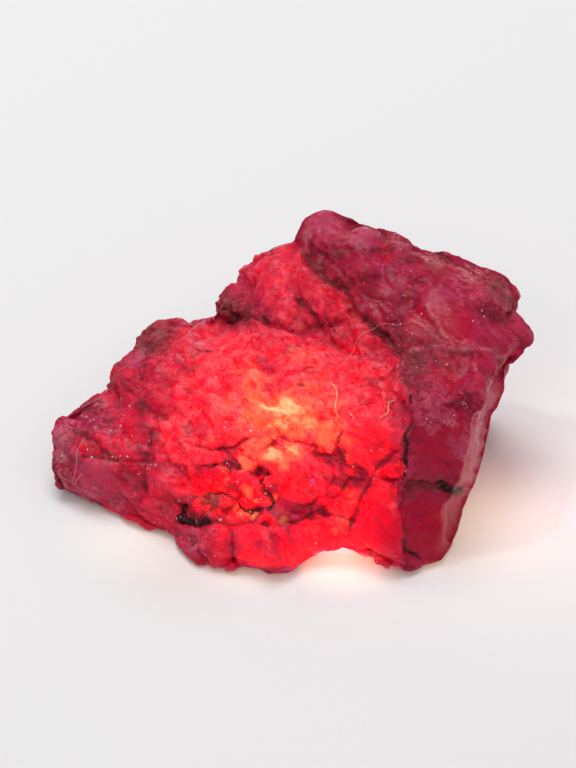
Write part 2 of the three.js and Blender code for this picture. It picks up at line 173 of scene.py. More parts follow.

# Spots on the front: U, V and radius in mm, and strength. Flame: a painted hot glow, orange to
# yellow, where the lamp's light comes through brightest.
PAINTED_HOTSPOT_SPOTS = [
    (-0.4, -1.5, 1.2, 0.95), (-1.6, -1.7, 0.9, 0.85), (-1.0, -2.6, 1.05, 0.95),
    (-1.7, -3.1, 0.6, 0.8), (1.3, -2.6, 0.8, 0.8), (0.5, -2.3, 1.7, 0.64), (-1.4, -5.2, 1.1, 0.7),
    (0.3, -5.0, 1.0, 0.7), (-0.5, -5.9, 0.8, 0.6), (-2.6, -1.9, 2.0, 0.52), (3.0, -3.6, 1.8, 0.42),
    (1.2, -0.6, 2.0, 0.42), (-3.3, -5.4, 1.3, 0.4), (-2.2, -3.9, 1.4, 0.42), (-3.3, 0.6, 2.0, 0.3),
    (3.4, -1.4, 1.4, 0.32), (1.0, 2.0, 2.6, 0.2), (-5.3, -1.4, 1.8, 0.25), (4.8, -9.0, 1.1, 0.25),
    (4.2, -10.9, 1.0, 0.25), (-5.2, -7.3, 0.9, 0.3), (-7.2, -4.0, 1.2, 0.25),
    (-3.7, -10.3, 0.45, 0.7), (-2.9, -10.5, 0.4, 0.7), (-0.6, -11.0, 0.45, 0.55),
    (-3.3, -7.9, 0.5, 0.5), (-4.7, -9.7, 0.4, 0.5), (-2.6, -8.9, 0.4, 0.5), (-6.0, -8.2, 0.5, 0.35),
    (-1.2, -8.8, 0.5, 0.45), (5.0, -4.0, 0.9, 0.25), (0.9, -8.0, 1.2, 0.3), (-4.6, -8.6, 0.6, 0.4),
]
# Windows: spots of clean glassy stone, deep red.
WINDOW_SPOTS = [
    (10.9, 5.7, 1.5, 0.95), (13.5, 5.3, 1.6, 0.95), (12.7, 1.0, 1.3, 0.95), (7.9, 11.4, 1.0, 0.8),
    (12.6, -4.2, 3.2, 0.6), (11.2, -11.4, 3.2, 0.7), (-17.0, -4.4, 0.8, 1.0),
    (-16.3, -4.6, 0.8, 1.0), (-1.6, 0.9, 1.4, 0.5), (7.2, 3.8, 1.0, 0.7), (4.4, 7.2, 1.6, 0.8),
    (-10.6, -0.9, 1.6, 0.6), (7.6, -10.6, 2.2, 0.9), (-6.6, -7.4, 1.5, 0.9), (6.9, -4.3, 1.4, 0.55),
    (1.2, 0.9, 1.0, 0.4), (-8.9, 1.6, 1.2, 0.5), (0.7, 7.2, 1.4, 0.5), (-5.2, -9.0, 1.0, 0.4),
    (2.8, -12.6, 1.6, 0.5), (-13.6, -3.4, 1.2, 0.7), (5.6, 9.4, 1.0, 0.5),
]
# Bloom and sheen: spots where the skin is weathered dull, pale and purplish, with a painted sheen
# of reflected light over it.
BLOOM_AND_SHEEN_SPOTS = [
    (3.0, 13.8, 1.8, 0.8), (6.3, 12.3, 1.3, 0.9), (14.0, 8.4, 2.2, 0.55), (16.0, 6.4, 2.0, 0.5),
    (9.0, 8.0, 2.4, 0.35), (12.4, -1.4, 2.6, 0.75), (14.8, -3.4, 1.0, 0.8), (14.6, 2.2, 3.0, 0.15),
    (-16.4, -8.0, 2.8, 0.9), (-19.0, -4.8, 1.6, 0.8), (-12.7, 2.4, 1.3, 0.7),
    (-16.0, -1.6, 1.8, 0.6), (-9.3, 0.4, 1.2, 0.5), (-8.0, -12.6, 1.8, 0.8), (4.4, 4.7, 1.3, 0.5),
    (8.0, -2.4, 1.3, 0.5), (8.8, 2.4, 1.0, 0.5), (-8.0, 3.0, 1.2, 0.45), (-13.0, -7.4, 2.0, 0.45),
    (-2.8, 11.0, 1.4, 0.4), (-10.6, 1.8, 1.0, 0.5), (-12.7, -4.5, 1.4, 0.4), (14.3, -8.0, 1.6, 0.4),
    (1.6, 11.6, 1.0, 0.4), (15.8, -5.6, 1.2, 0.6), (13.2, -12.6, 1.4, 0.4), (-5.6, -13.6, 1.4, 0.5),
    (-14.4, -9.3, 1.8, 0.8), (-17.8, -3.2, 1.2, 0.6), (-18.0, -5.8, 1.1, 0.7),
    (-14.8, -3.2, 1.0, 0.45), (-14.9, -5.4, 1.0, 0.6), (14.2, -4.6, 1.6, 0.8),
]
# Frost and highlights: spots rubbed or bruised to a pale powdery pink, and painted highlights on
# edges, knobs and facets.
FROST_AND_HIGHLIGHT_SPOTS = [
    (16.2, -3.3, 0.7, 0.9), (15.95, -4.6, 0.55, 1.0), (15.6, -6.0, 0.55, 1.0),
    (15.2, -7.2, 0.5, 0.9), (14.7, -8.6, 0.5, 0.8), (-12.2, 3.3, 1.0, 0.6), (-10.7, 1.5, 0.6, 0.7),
    (-7.4, 3.7, 0.6, 0.8), (-18.9, -3.9, 1.2, 0.75), (-19.3, -5.6, 0.9, 0.8),
    (-19.0, -7.4, 0.9, 0.7), (-15.0, -3.3, 0.7, 0.5), (-15.2, -5.6, 0.6, 0.6),
    (-16.2, -0.9, 1.0, 0.7), (8.6, 12.3, 0.9, 0.6), (12.4, 11.1, 1.1, 0.7), (15.4, 9.6, 1.4, 0.6),
    (17.6, 8.2, 1.0, 0.5), (11.4, -2.3, 0.7, 0.5), (13.2, -2.6, 0.6, 0.6), (-1.0, 10.2, 0.7, 0.5),
    (4.6, 4.6, 0.6, 0.5), (-13.4, -8.6, 0.8, 0.4), (14.4, -5.2, 0.7, 0.4), (-9.2, 0.6, 0.6, 0.5),
    (1.6, 13.2, 0.7, 0.4), (6.0, 10.0, 0.8, 0.3), (-7.6, -12.6, 0.9, 0.5), (-19.0, -6.6, 0.8, 0.5),
    (-16.6, -8.3, 1.0, 0.45), (-14.6, -9.6, 0.8, 0.5), (-17.9, -5.4, 0.8, 0.45),
    (7.2, 0.2, 0.6, 0.4), (-11.4, -7.4, 0.6, 0.4),
]
# Matrix: spots where brown bedrock still sticks in the hollows.
MATRIX_SPOTS = [
    (-5.0, 6.6, 1.5, 0.9), (-3.6, 6.0, 1.2, 0.7), (16.9, 8.4, 1.5, 0.8), (18.2, 7.2, 1.0, 0.7),
    (-12.0, 4.2, 1.6, 0.85), (-10.6, 4.6, 1.2, 0.7), (-14.7, 0.6, 0.9, 0.9), (-14.2, 1.8, 0.8, 0.6),
    (4.1, 11.4, 0.7, 0.8), (2.5, 10.3, 0.7, 0.8), (10.4, 2.2, 1.2, 0.85), (9.7, 4.0, 0.8, 0.8),
    (9.2, 5.2, 0.7, 0.7), (8.6, 3.0, 0.9, 0.6), (-12.6, -1.2, 0.7, 0.9), (-6.4, -9.2, 0.9, 0.9),
    (-8.2, -10.6, 0.9, 0.7), (-10.4, -9.8, 0.8, 0.5), (-2.3, -8.4, 0.9, 0.5),
    (-1.0, -10.2, 0.9, 0.5), (12.4, -7.8, 0.9, 0.7), (-12.6, -6.6, 0.5, 0.6), (9.8, 12.0, 1.2, 0.4),
    (12.0, 10.6, 1.2, 0.5), (-8.6, -2.9, 0.7, 0.6), (-18.6, -6.2, 0.8, 0.3), (9.7, 0.8, 0.9, 0.7),
    (-5.6, -10.7, 0.6, 0.7), (10.0, -7.8, 0.5, 0.9), (11.0, -7.8, 0.5, 1.0), (11.9, -7.9, 0.5, 1.0),
    (-3.4, -9.4, 1.0, 0.42), (-4.2, -8.2, 2.0, 0.34), (-2.0, -9.6, 1.7, 0.34),
    (-6.2, -9.8, 1.5, 0.5),
]
# Calm: spots where the break is smooth and flat.
CALM_SPOTS = [
    (12.4, -4.6, 3.0, 1.0), (11.8, -11.2, 3.4, 1.0), (7.6, -10.6, 2.6, 0.9), (13.2, 7.6, 2.4, 1.0),
    (2.8, 13.9, 2.0, 0.8), (6.4, 12.4, 1.3, 0.8), (6.6, -4.6, 2.6, 0.8), (3.2, -3.4, 1.6, 0.7),
    (-16.4, -7.6, 2.6, 0.6), (-4.0, -13.0, 2.8, 0.6), (0.2, -13.4, 2.0, 0.7), (14.2, 5.4, 1.9, 1.0),
    (10.8, 5.6, 1.4, 0.8), (-0.9, 9.8, 2.0, 0.55), (1.7, 8.4, 1.6, 0.5), (5.2, 10.6, 1.2, 0.5),
    (9.0, 8.4, 1.3, 0.5), (16.8, 4.4, 1.6, 0.6), (14.6, 1.2, 1.6, 0.5), (-6.6, -7.4, 1.3, 0.7),
    (14.6, -5.8, 2.0, 0.9), (4.0, -9.0, 2.0, 0.6), (0.2, 12.6, 1.8, 1.0), (4.4, -12.6, 1.8, 1.0),
    (16.8, -3.6, 2.0, 0.9), (15.8, -7.0, 2.0, 0.9), (17.6, -0.4, 2.0, 0.8), (14.8, -9.6, 1.6, 0.8),
    (-13.3, 3.1, 1.1, 0.9), (0.0, -8.9, 1.2, 0.75), (-5.0, 4.3, 1.0, 0.9),
]
# Lumps that stand out of the break, and dips in it, at U and V: radius and height in mm.
LUMPS = [
    (-7.3, -12.8, 1.9, 0.35), (-2.6, -12.6, 2.0, 0.3), (0.9, -13.0, 1.2, 0.15),
    (-19.4, -6.0, 2.2, -0.35), (19.9, 4.3, 1.9, 0.5), (18.7, 8.0, 1.5, 0.4),
    (-2.6, -15.2, 2.6, -0.35), (3.6, 7.0, 1.5, 0.5), (3.9, 4.8, 1.1, 0.45), (-6.5, -9.2, 0.8, 0.4),
    (-5.3, -9.6, 0.8, 0.35), (-14.1, 1.3, 1.4, 0.5), (-11.3, 4.2, 1.5, 0.4),
    (-12.6, -1.2, 0.7, 0.35), (-6.8, -6.8, 1.3, 0.45), (2.6, 13.2, 1.9, 0.15),
    (6.4, 12.3, 1.3, 0.45), (8.7, 2.7, 0.8, 0.35), (6.6, 1.4, 1.2, 0.35), (-9.3, 3.4, 1.1, 0.3),
    (-10.0, -7.6, 1.4, 0.35), (-9.0, -4.6, 1.2, 0.35), (-1.6, 9.6, 1.7, 0.35),
    (1.2, 10.3, 1.1, 0.3), (16.6, 8.2, 1.4, 0.35), (9.2, 9.6, 1.6, 0.35), (6.0, 9.2, 1.2, 0.35),
    (-5.0, -12.0, 0.7, 0.25), (3.2, -3.6, 1.4, 0.45), (6.0, -4.1, 1.6, 0.5), (6.8, -7.9, 1.4, 0.4),
    (3.4, -8.4, 1.2, 0.45), (7.6, -11.4, 2.0, 0.4), (4.4, -6.6, 0.9, 0.3), (3.6, -11.4, 1.1, 0.35),
    (1.6, -9.6, 0.9, 0.3), (-1.8, -7.9, 0.9, 0.3), (-3.6, -7.4, 1.0, 0.35), (0.4, -9.2, 1.0, 0.3),
    (-4.6, 1.8, 1.6, 0.25),
]

# How much light comes up through the front, from 0 to 1, at U, V: a painted map of the lamp's
# light, which paints the stone's lit colours and also sets how far light goes into the stone.
LIT_THROUGH = np.array([
    (-0.8, 9.2, 0.67), (-2.5, 10.4, 0.6), (2.0, 9.2, 0.69), (4.3, 7.2, 0.75), (-4.0, 7.2, 0.3),
    (0.8, 6.6, 0.6), (-3.3, 2.9, 0.95), (-9.6, 1.7, 0.62), (-12.0, 3.6, 0.26), (-6.5, 3.8, 0.72),
    (1.0, 4.2, 0.8), (4.5, 4.0, 0.75), (6.7, 1.0, 0.85), (8.8, 2.6, 0.5), (7.9, -2.4, 0.7),
    (-0.4, -1.7, 1.0), (3.0, -2.0, 1.0), (5.8, -3.8, 0.97), (8.3, -5.2, 0.86), (1.3, -4.2, 1.0),
    (-1.2, -5.6, 0.95), (-5.0, -2.0, 0.96), (-8.5, -1.0, 0.86), (-7.0, 0.4, 0.86),
    (-9.2, -3.0, 0.76), (-7.3, -5.0, 0.78), (-3.7, -8.3, 0.8), (-6.5, -7.2, 0.8),
    (-9.4, -8.3, 0.62), (0.8, -7.5, 0.7), (4.5, -8.0, 0.9), (7.4, -11.0, 0.86), (7.5, -8.4, 0.88),
    (2.8, -11.8, 0.92), (-3.8, -13.0, 0.82), (-8.0, -12.9, 0.45), (0.0, -13.5, 0.78),
    (5.5, -12.6, 1.0), (-11.0, -11.0, 0.6), (-16.4, -4.4, 0.52), (-15.4, -8.0, 0.36),
    (-10.4, -7.6, 0.64), (-13.5, -1.5, 0.44), (-17.5, -2.6, 0.12), (-19.2, -6.0, 0.1),
    (-11.5, -3.5, 0.74), (-12.5, -6.2, 0.62), (-13.5, -10.0, 0.46), (-0.6, -10.6, 0.62),
    (9.0, -14.0, 0.6),
])
# Where the thick, cloudy block begins: U at each V, from the back down to the foot.
BLOCK_EDGE = np.array([
    (0.6, 15.2), (0.3, 12.5), (2.3, 9.8), (5.2, 7.5), (6.4, 5.2), (8.4, 3.4), (9.8, 0.2),
    (9.8, -1.0), (9.4, -4.2), (9.2, -6.4), (9.4, -8.6), (9.1, -11.0), (9.2, -14.6),
])

FRONT_STEPS = 220  # cells along each side of the front
WALL_RINGS = 20  # rings of cells down the wall, from the front's edge to the back's
BACK_RINGS = 30  # rings from there to the middle of the back
BACK_INSET = 0.05  # share by which the wall leans in on its way down
WALL_DROP = 0.4  # mm of wall there is at least
BACK_STEP = 1.2  # mm by which the back may stand proud of the wall's foot, for each ring inward
EDGE_WIDTH = 1.6  # mm over which the front rounds into the wall
EDGE_ROUND = 0.6  # mm by which the very edge sinks
KNOT_TIP = 0.8  # mm over which the cone at each knot of the front is rounded off


def placed(u, v, d):
    """A point of the leaning frame in the stone's own: U stays, V climbs the plane, D stands out."""
    y = v * math.sin(LEAN) - d * math.cos(LEAN)
    z = HEART_Z + v * math.cos(LEAN) + d * math.sin(LEAN)
    return np.stack([u, y, z], -1)


def depth_at_height(v, z):
    """The D at which the point V up the plane has height z."""
    return (z - HEART_Z - v * math.cos(LEAN)) / math.sin(LEAN)


def reach_at(angle):
    """Distance from the middle to the outline, read off between its points by angle."""
    turns = np.arctan2(OUTLINE[:, 1], OUTLINE[:, 0])
    return np.interp(angle, turns, np.hypot(OUTLINE[:, 0], OUTLINE[:, 1]), period=2 * math.pi)


def nearest_on_line(u, v, line):
    """For each (u, v): its distance from a line of straight stretches; how far along that line the
    nearest place is, as a share; the number carried there, read between the line's points; and the
    side of the line it lies on, 1 or -1."""
    gap = np.full(u.shape, np.inf)
    hand = np.ones(u.shape)
    along = np.zeros(u.shape)
    carried = np.zeros(u.shape)
    for i, (start, end) in enumerate(zip(line[:-1], line[1:])):
        side = end[:2] - start[:2]
        share = ((u - start[0]) * side[0] + (v - start[1]) * side[1]) / (side @ side)
        share = np.clip(share, 0, 1)
        this = np.hypot(u - start[0] - share * side[0], v - start[1] - share * side[1])
        nearer = this < gap
        gap = np.where(nearer, this, gap)
        along = np.where(nearer, (i + share) / (len(line) - 1), along)
        carried = np.where(nearer, start[-1] + share * (end[-1] - start[-1]), carried)
        turned = (u - start[0]) * side[1] - (v - start[1]) * side[0]
        hand = np.where(nearer, np.where(turned < 0, -1, 1), hand)
    return gap, along, carried, hand


def eased(x, low, high):
    """0 below low, 1 above high, and a smooth climb between: 3 x squared less 2 x cubed."""
    x = np.clip((x - low) / (high - low), 0, 1)
    return x * x * (3 - 2 * x)


rim_line = OUTLINE.copy()
rim_line[:, 2] = depth_at_height(OUTLINE[:, 1], OUTLINE[:, 2])
rim_line = np.vstack([rim_line, rim_line[:1]])
knots = np.vstack([OUTLINE, RELIEF])
knot_depths = depth_at_height(knots[:, 1], knots[:, 2])


def cones(u, v):
    """Distance from each (u, v) to each knot, softened at the tip, then 1, u and v."""
    squared = (u[..., None] - knots[:, 0]) ** 2 + (v[..., None] - knots[:, 1]) ** 2
    gaps = np.sqrt(squared + KNOT_TIP ** 2)
    return np.concatenate([gaps, np.stack([np.ones_like(u), u, v], -1)], -1)


# The weight of each cone, from the depths at the knots, with a plane left over.
knot_rows = cones(knots[:, 0], knots[:, 1])
plane_rows = np.hstack([knot_rows[:, -3:].T, np.zeros((3, 3))])
knot_weights = np.linalg.solve(
    np.vstack([knot_rows, plane_rows]), np.concatenate([knot_depths, np.zeros(3)])
)


def face_depth(u, v, out, at):
    """The D at which the line through (u, v) meets a flat face."""
    out = np.array(out) / np.linalg.norm(out)
    gap = (np.array(at) - placed(u, v, np.zeros_like(u))) @ out
    return gap / ((placed(0, 0, 1) - placed(0, 0, 0)) @ out)


def front_depth(u, v):
    """The front: a sum of softened cones through every knot, cut by its flat faces, and led down to
    the outline's own depth at the edge."""
    gap, _, rim_depth, _ = nearest_on_line(u, v, rim_line)
    relief = cones(u, v) @ knot_weights
    for out, at in FRONT_FACES:
        relief = np.minimum(relief, face_depth(u, v, out, at))
    edge = 1 - eased(gap, 0, EDGE_WIDTH)
    return relief + (rim_depth - relief) * edge - EDGE_ROUND * edge ** 2


def back_depth(u, v):
    """The back: the nearest of its flat faces along the line through (u, v)."""
    return np.max([face_depth(u, v, out, at) for out, at in BACK_FACES], 0)


def ring_faces(rings):
    """The four-cornered faces between rows of corner numbers, each row closed into a ring."""
    after = np.roll(rings, -1, 1)
    return np.stack([rings[:-1], rings[1:], after[1:], after[:-1]], -1).reshape(-1, 4)


def ruby_surface():
    """The stone's corners as (u, v, d), its faces, and the share of each corner that counts as
    front. The front is a square grid whose rings become outlines: far out = reach at that angle
    times the larger of |s| and |t|. Behind it, rings run down the wall and then in across the back
    to a point."""
    s, t = np.meshgrid(np.linspace(-1, 1, FRONT_STEPS + 1), np.linspace(-1, 1, FRONT_STEPS + 1))
    angle = np.arctan2(t, s)
    far = np.maximum(abs(s), abs(t)) * reach_at(angle)
    u, v = (far * np.cos(angle)).ravel(), (far * np.sin(angle)).ravel()
    front = np.stack([u, v, front_depth(u, v)], -1)

    number = np.arange(len(front)).reshape(s.shape)
    edge = np.concatenate([number[0, :-1], number[:-1, -1], number[-1, :0:-1], number[:0:-1, 0]])
    a, b, c, d = number[:-1, :-1], number[:-1, 1:], number[1:, 1:], number[1:, :-1]
    front_faces = np.stack([a, b, c, d], -1).reshape(-1, 4)

    rim = front[edge]
    inner = rim[:, :2] * (1 - BACK_INSET)
    foot = np.minimum(back_depth(inner[:, 0], inner[:, 1]), rim[:, 2] - WALL_DROP)
    down = np.linspace(0, 1, WALL_RINGS + 1)[1:, None, None]
    wall_points = rim + (np.column_stack([inner, foot]) - rim) * down

    share = np.linspace(1, 0, BACK_RINGS + 1)[1:-1, None]
    back_u, back_v = inner[:, 0] * share, inner[:, 1] * share
    highest = foot + (1 - share) * BACK_RINGS * BACK_STEP
    back_points = np.stack([back_u, back_v, np.minimum(back_depth(back_u, back_v), highest)], -1)
    pole = np.array([[0, 0, back_depth(np.zeros(1), np.zeros(1))[0]]])
    points = np.vstack([front, wall_points.reshape(-1, 3), back_points.reshape(-1, 3), pole])

    behind = len(front) + np.arange((WALL_RINGS + BACK_RINGS - 1) * len(edge))
    behind = behind.reshape(-1, len(edge))
    quads = np.vstack([front_faces, ring_faces(np.vstack([edge, behind]))])
    last = np.full(len(edge), len(points) - 1)
    fan = np.stack([behind[-1], last, np.roll(behind[-1], -1)], -1)
    on_front = np.zeros(len(points))
    on_front[: len(front)] = 1
    for ring in range(WALL_RINGS):
        on_front[behind[ring]] = 1 - eased(ring, 2, WALL_RINGS - 2)
    return points, quads, fan, on_front


leaning, quads, fan, on_front = ruby_surface()
u, v = leaning[:, 0], leaning[:, 1]
stone = placed(u, v, leaning[:, 2])


def outward(points):
    """The outward direction at each of the stone's corners: the sum of its faces' normals, each
    as long as its face is large, made one long."""
    total = np.zeros_like(points)
    triangles = np.vstack([quads[:, [0, 1, 2]], quads[:, [0, 2, 3]], fan])
    a, b, c = (points[triangles[:, k]] for k in range(3))
    normal = np.cross(b - a, c - a)
    for k, axis in itertools.product(range(3), repeat=2):
        total[:, axis] += np.bincount(triangles[:, k], normal[:, axis], len(points))
    return total / np.maximum(np.linalg.norm(total, axis=1, keepdims=True), 1e-12)


def scattered(corner, salt):
    """A number from 0 to 1 for each whole-numbered corner: what is left after the point of a large
    sine of a weighted sum of its three places."""
    wave = np.sin(corner @ np.array([12.9898, 78.233, 37.719]) + salt * 4.1414) * 43758.5453
    return wave - np.floor(wave)


def cloud(p, size, octaves, salt):
    """Cloudy noise from -1 to 1: numbers at the corners of a grid, blended smoothly across each
    cell, with each finer grid half the size and just over half as strong."""
    total, strength, weight = np.zeros(len(p)), 1.0, 0.0
    for octave in range(octaves):
        q = p / size * 2 ** octave + 17.3 * octave
        cell = np.floor(q)
        f = eased(q - cell, 0, 1)
        layer = np.zeros(len(p))
        for corner in itertools.product((0, 1), repeat=3):
            share = np.prod(np.where(corner, f, 1 - f), axis=1)
            layer += share * scattered(cell + corner, salt)
        total += strength * (2 * layer - 1)
        weight += strength
        strength *= 0.55
    return total / weight


CAP_SLOPE = 0.8  # height gained over one size, on the steepest cap
CAP_RISE = 0.35  # the most a cap stands above the lowest, and the depth of the floor, in sizes
CAP_REACH = 0.7  # sizes from its seed at which a cap begins to drop off
CAP_DROP = 14


def knobs(p, size, salt):
    """Facets of broken stone. Each scattered seed carries a tilted flat cap: slope times distance,
    plus a rise of its own, less the drop times the square of the distance past the reach. The
    highest cap shows, down to a floor. Gives its height, how far it stands above the next cap, and
    a number of its own from 0 to 1."""
    q = p / size
    cell = np.floor(q)
    best, second = np.full(len(p), -np.inf), np.full(len(p), -np.inf)
    own = np.zeros(len(p))
    for offset in itertools.product((-1, 0, 1), repeat=3):
        corner = cell + offset
        away = q - corner - np.stack([scattered(corner, salt + k) for k in range(3)], -1)
        slope = np.stack([scattered(corner, salt + 3 + k) for k in range(3)], -1) * 2 - 1
        far = np.maximum(np.sqrt((away ** 2).sum(1)) - CAP_REACH, 0)
        rise = CAP_RISE * scattered(corner, salt + 6)
        cap = CAP_SLOPE * (slope * away).sum(1) + rise - CAP_DROP * far ** 2
        higher = cap > best
        second = np.where(higher, best, np.maximum(second, cap))
        best = np.where(higher, cap, best)
        own = np.where(higher, scattered(corner, salt + 7), own)
    return np.maximum(best, -CAP_RISE), best - second, own


def spots_on(u, v, spots):
    """The strongest of some round spots at each (u, v): strength times a bell of the distance."""
    found = np.zeros(u.shape)
    for at_u, at_v, radius, strength in spots:
        bell = np.exp(-(((u - at_u) ** 2 + (v - at_v) ** 2) / radius ** 2) ** 1.5)
        found = np.maximum(found, strength * bell)
    return found


# Layers of the break, coarse to fine: size in mm, height in mm (a minus turns knobs into scoops
# with sharp ridges), and a salt for its seeds. The break runs along the stone's own planes, so the
# seeds are squeezed together across them.
PARTING_TURN = np.array([[0.82, 0.39, 0.41], [-0.35, 0.92, -0.17], [-0.45, 0.0, 0.89]])
PARTING_SQUEEZE = np.array([0.52, 1.0, 1.5])
BREAKS = [
    (4.6, 1.1, 10), (2.9, -0.5, 20), (1.9, 0.4, 40), (1.1, -0.24, 70), (0.62, 0.13, 100),
    (0.36, 0.05, 130),
]
calm = eased(spots_on(u, v, CALM_SPOTS), 0.1, 0.75) * on_front
past_edge = u - np.interp(-v, -BLOCK_EDGE[:, 1], BLOCK_EDGE[:, 0])
thick = eased(past_edge, 0, 2) * on_front
for at_u, at_v, radius, rise in LUMPS:
    bell = np.exp(-(((u - at_u) ** 2 + (v - at_v) ** 2) / radius ** 2) ** 2) * on_front
    stone = stone + outward(stone) * (rise * bell)[:, None]
grainy = 0.25 + 0.95 * eased(cloud(stone, 2.6, 3, 9), -0.35, 0.3)
tone, seam, low_lying = np.zeros((3, len(stone)))
for size, height, salt in BREAKS:
    bent = stone + 0.18 * size * np.stack([cloud(stone, size, 2, salt + k) for k in range(3)], -1)
    cap, lead, own = knobs(bent @ PARTING_TURN * PARTING_SQUEEZE, size, salt)
    keep = 1 - (0.6 if size > 3 else 0.9) * calm
    keep = keep * (1 if size > 1.5 else grainy) * (1 if size > 2 else 1 - 0.35 * thick)
    tone += (own - 0.5) * (0.4 if size > 3 else 0.7 if size > 1 else 0.5)
    if height > 0:
        seam = np.maximum(seam, (1 - eased(lead, 0, 0.14)) * keep * (1 if size > 1 else 0.5))
    relief = (cap - cap.mean()) * height * keep
    low_lying += np.where(size < 3, -relief / abs(height), 0)
    stone = stone + outward(stone) * relief[:, None]

wander_u, wander_v = cloud(stone, 1.5, 4, 5), cloud(stone, 1.5, 4, 6)
broken = eased(cloud(stone, 0.9, 3, 8), -0.35, 0.25)
brown, rib, dimmed = np.zeros((3, len(stone)))
nearest_line = np.full(len(stone), np.inf)
line_gap, line_half, line_dirt, line_near = np.ones((4, len(stone)))
for depth, width, brownness, darkness, course in CREVICES:
    gap, along, _, hand = nearest_on_line(
        u + LINE_WANDER * wander_u, v + LINE_WANDER * wander_v, np.array(course)
    )
    taper = eased(np.minimum(along, 1 - along), -0.01, 0.1) * on_front
    cut_width = max(width, NARROWEST_CUT) * (0.8 + 0.3 * broken)
    cut = np.exp(-((gap / cut_width) ** 2)) * taper * (0.6 + 0.4 * broken)
    brown = np.maximum(brown, brownness * np.exp(-((gap / (2.0 * width)) ** 2)) * taper)
    stone = stone - outward(stone) * (depth * cut)[:, None]
    low_lying += np.sign(depth) * 0.3 * np.exp(-((gap / (1.5 * width)) ** 2)) * taper
    if depth < 0:
        rib = np.maximum(rib, taper * np.exp(-((gap / NARROWEST_CUT) ** 2)))
        continue
    dimmed = np.maximum(dimmed, (1 - brownness) * taper * np.exp(-((gap / DIM_REACH) ** 2)))
    closer = gap / width < nearest_line
    nearest_line = np.where(closer, gap / width, nearest_line)
    line_gap = np.where(closer, hand * gap, line_gap)
    line_half = np.where(closer, width, line_half)
    line_dirt = np.where(closer, darkness, line_dirt)
    line_near = np.where(closer, taper * np.exp(-((gap / LINE_REACH) ** 4)), line_near)

matrix = spots_on(u + 0.6 * wander_v, v + 0.6 * wander_u, MATRIX_SPOTS) * on_front
matrix = np.maximum(brown, matrix)
crumbs = cloud(stone, 0.6, 3, 7) * (0.03 * (1 - 0.8 * calm) + 0.12 * matrix)
crumbs += cloud(stone, 0.3, 2, 12) * 0.07 * matrix
stone = stone + outward(stone) * crumbs[:, None]
stone[:, 2] = np.maximum(stone[:, 2], 0)

low, high = (np.array(corner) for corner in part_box("raw_ruby_crystal"))
place = (low + high) / 2 / MM - (stone.min(0) + stone.max(0)) / 2
place[2] = 0
stone += place


def new_piece(name, points_mm, faces, smooth=False):
    """A new object in the scene, with a mesh of corners given in mm."""
    mesh = bpy.data.meshes.new(name)
    mesh.from_pydata(points_mm * MM, [], faces)
    mesh.polygons.foreach_set("use_smooth", np.full(len(faces), smooth))
    piece = bpy.data.objects.new(name, mesh)
    bpy.context.scene.collection.objects.link(piece)
    return piece


def write_mask(piece, name, values):
    """Keeps a number from 0 to 1 for each corner of the piece."""
    data = piece.data.attributes.new(name, "FLOAT", "POINT").data
    data.foreach_set("value", np.clip(values, 0, 1).astype(np.float32))


def lit_through(u, v):
    """The mean of the LIT_THROUGH numbers, each weighted by a bell of its distance."""
    squared = (u[:, None] - LIT_THROUGH[:, 0]) ** 2 + (v[:, None] - LIT_THROUGH[:, 1]) ** 2
    weight = np.exp(-squared / 2.4) + 1e-9 / (1 + squared)
    return weight @ LIT_THROUGH[:, 2] / weight.sum(1)


ruby = new_piece("raw_ruby", stone, quads.tolist() + fan.tolist(), True)
block = eased(past_edge + wander_u * (0.1 + 0.5 * eased(v, -1, 2)), -0.2, 0.2)
lit = lit_through(u, v) * (1 - 0.26 * dimmed) * (1 - block) + 0.06 * block
near_u, near_v = u + 0.5 * wander_u, v + 0.5 * wander_v
masks = {
    "glow": lit * on_front + 0.12 * (1 - on_front),
    "painted_hotspot": spots_on(near_u, near_v, PAINTED_HOTSPOT_SPOTS) * on_front,
    "window": spots_on(u + 0.4 * wander_u, v + 0.4 * wander_v, WINDOW_SPOTS) * on_front,
    "bloom_and_sheen": spots_on(u + 0.5 * wander_v, v + 0.5 * wander_u, BLOOM_AND_SHEEN_SPOTS) * on_front,
    "matrix": matrix,
    "line_side": 0.5 + 0.5 * line_gap / LINE_REACH,
    "line_half": line_half,
    "line_dirt": line_dirt / 2,
    "line_near": line_near,
    "frost_and_highlight": spots_on(near_u, near_v, FROST_AND_HIGHLIGHT_SPOTS) * on_front ** 8,
    "bruised": 0.35 + 0.65 * eased(v + 1.5 * wander_v, -8, -3),
    "rib": rib,
    "seam": seam,
    "tone": 0.5 + 0.5 * tone,
    "hollow": 0.5 + 0.6 * low_lying,
    "calm": calm,
    "grainy": grainy / 1.2,
}
for name, values in masks.items():
    write_mask(ruby, name, values)
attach(ruby, "root")
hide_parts("raw_ruby_crystal")

CLOUDY_CRIMSON = (0.37, 0.003, 0.030, 1)
CLOUDY_PURPLE = (0.45, 0.013, 0.075, 1)
# Painted light: the next three reds are lit copies of the stone, for where the lamp shines through.
PAINTED_HALF_LIT_RED = (0.70, 0.012, 0.056, 1)
PAINTED_LIT_RED = (0.90, 0.004, 0.036, 1)
PAINTED_LIT_SALMON = (0.98, 0.112, 0.160, 1)
WINDOW_DARK = (0.46, 0.0, 0.028, 1)
# Painted light: a lit copy of the windows' deep red.
WINDOW_PAINTED_LIT = (0.76, 0.0, 0.030, 1)
# Partly painted light: the bloom's colour also paints a sheen.
BLOOM_AND_SHEEN_PINK = (0.51, 0.058, 0.140, 1)
# Partly painted light: the frost's pink also paints highlights.
FROST_AND_HIGHLIGHT_PINK = (0.62, 0.22, 0.26, 1)
WORN_PINK = (0.60, 0.09, 0.14, 1)
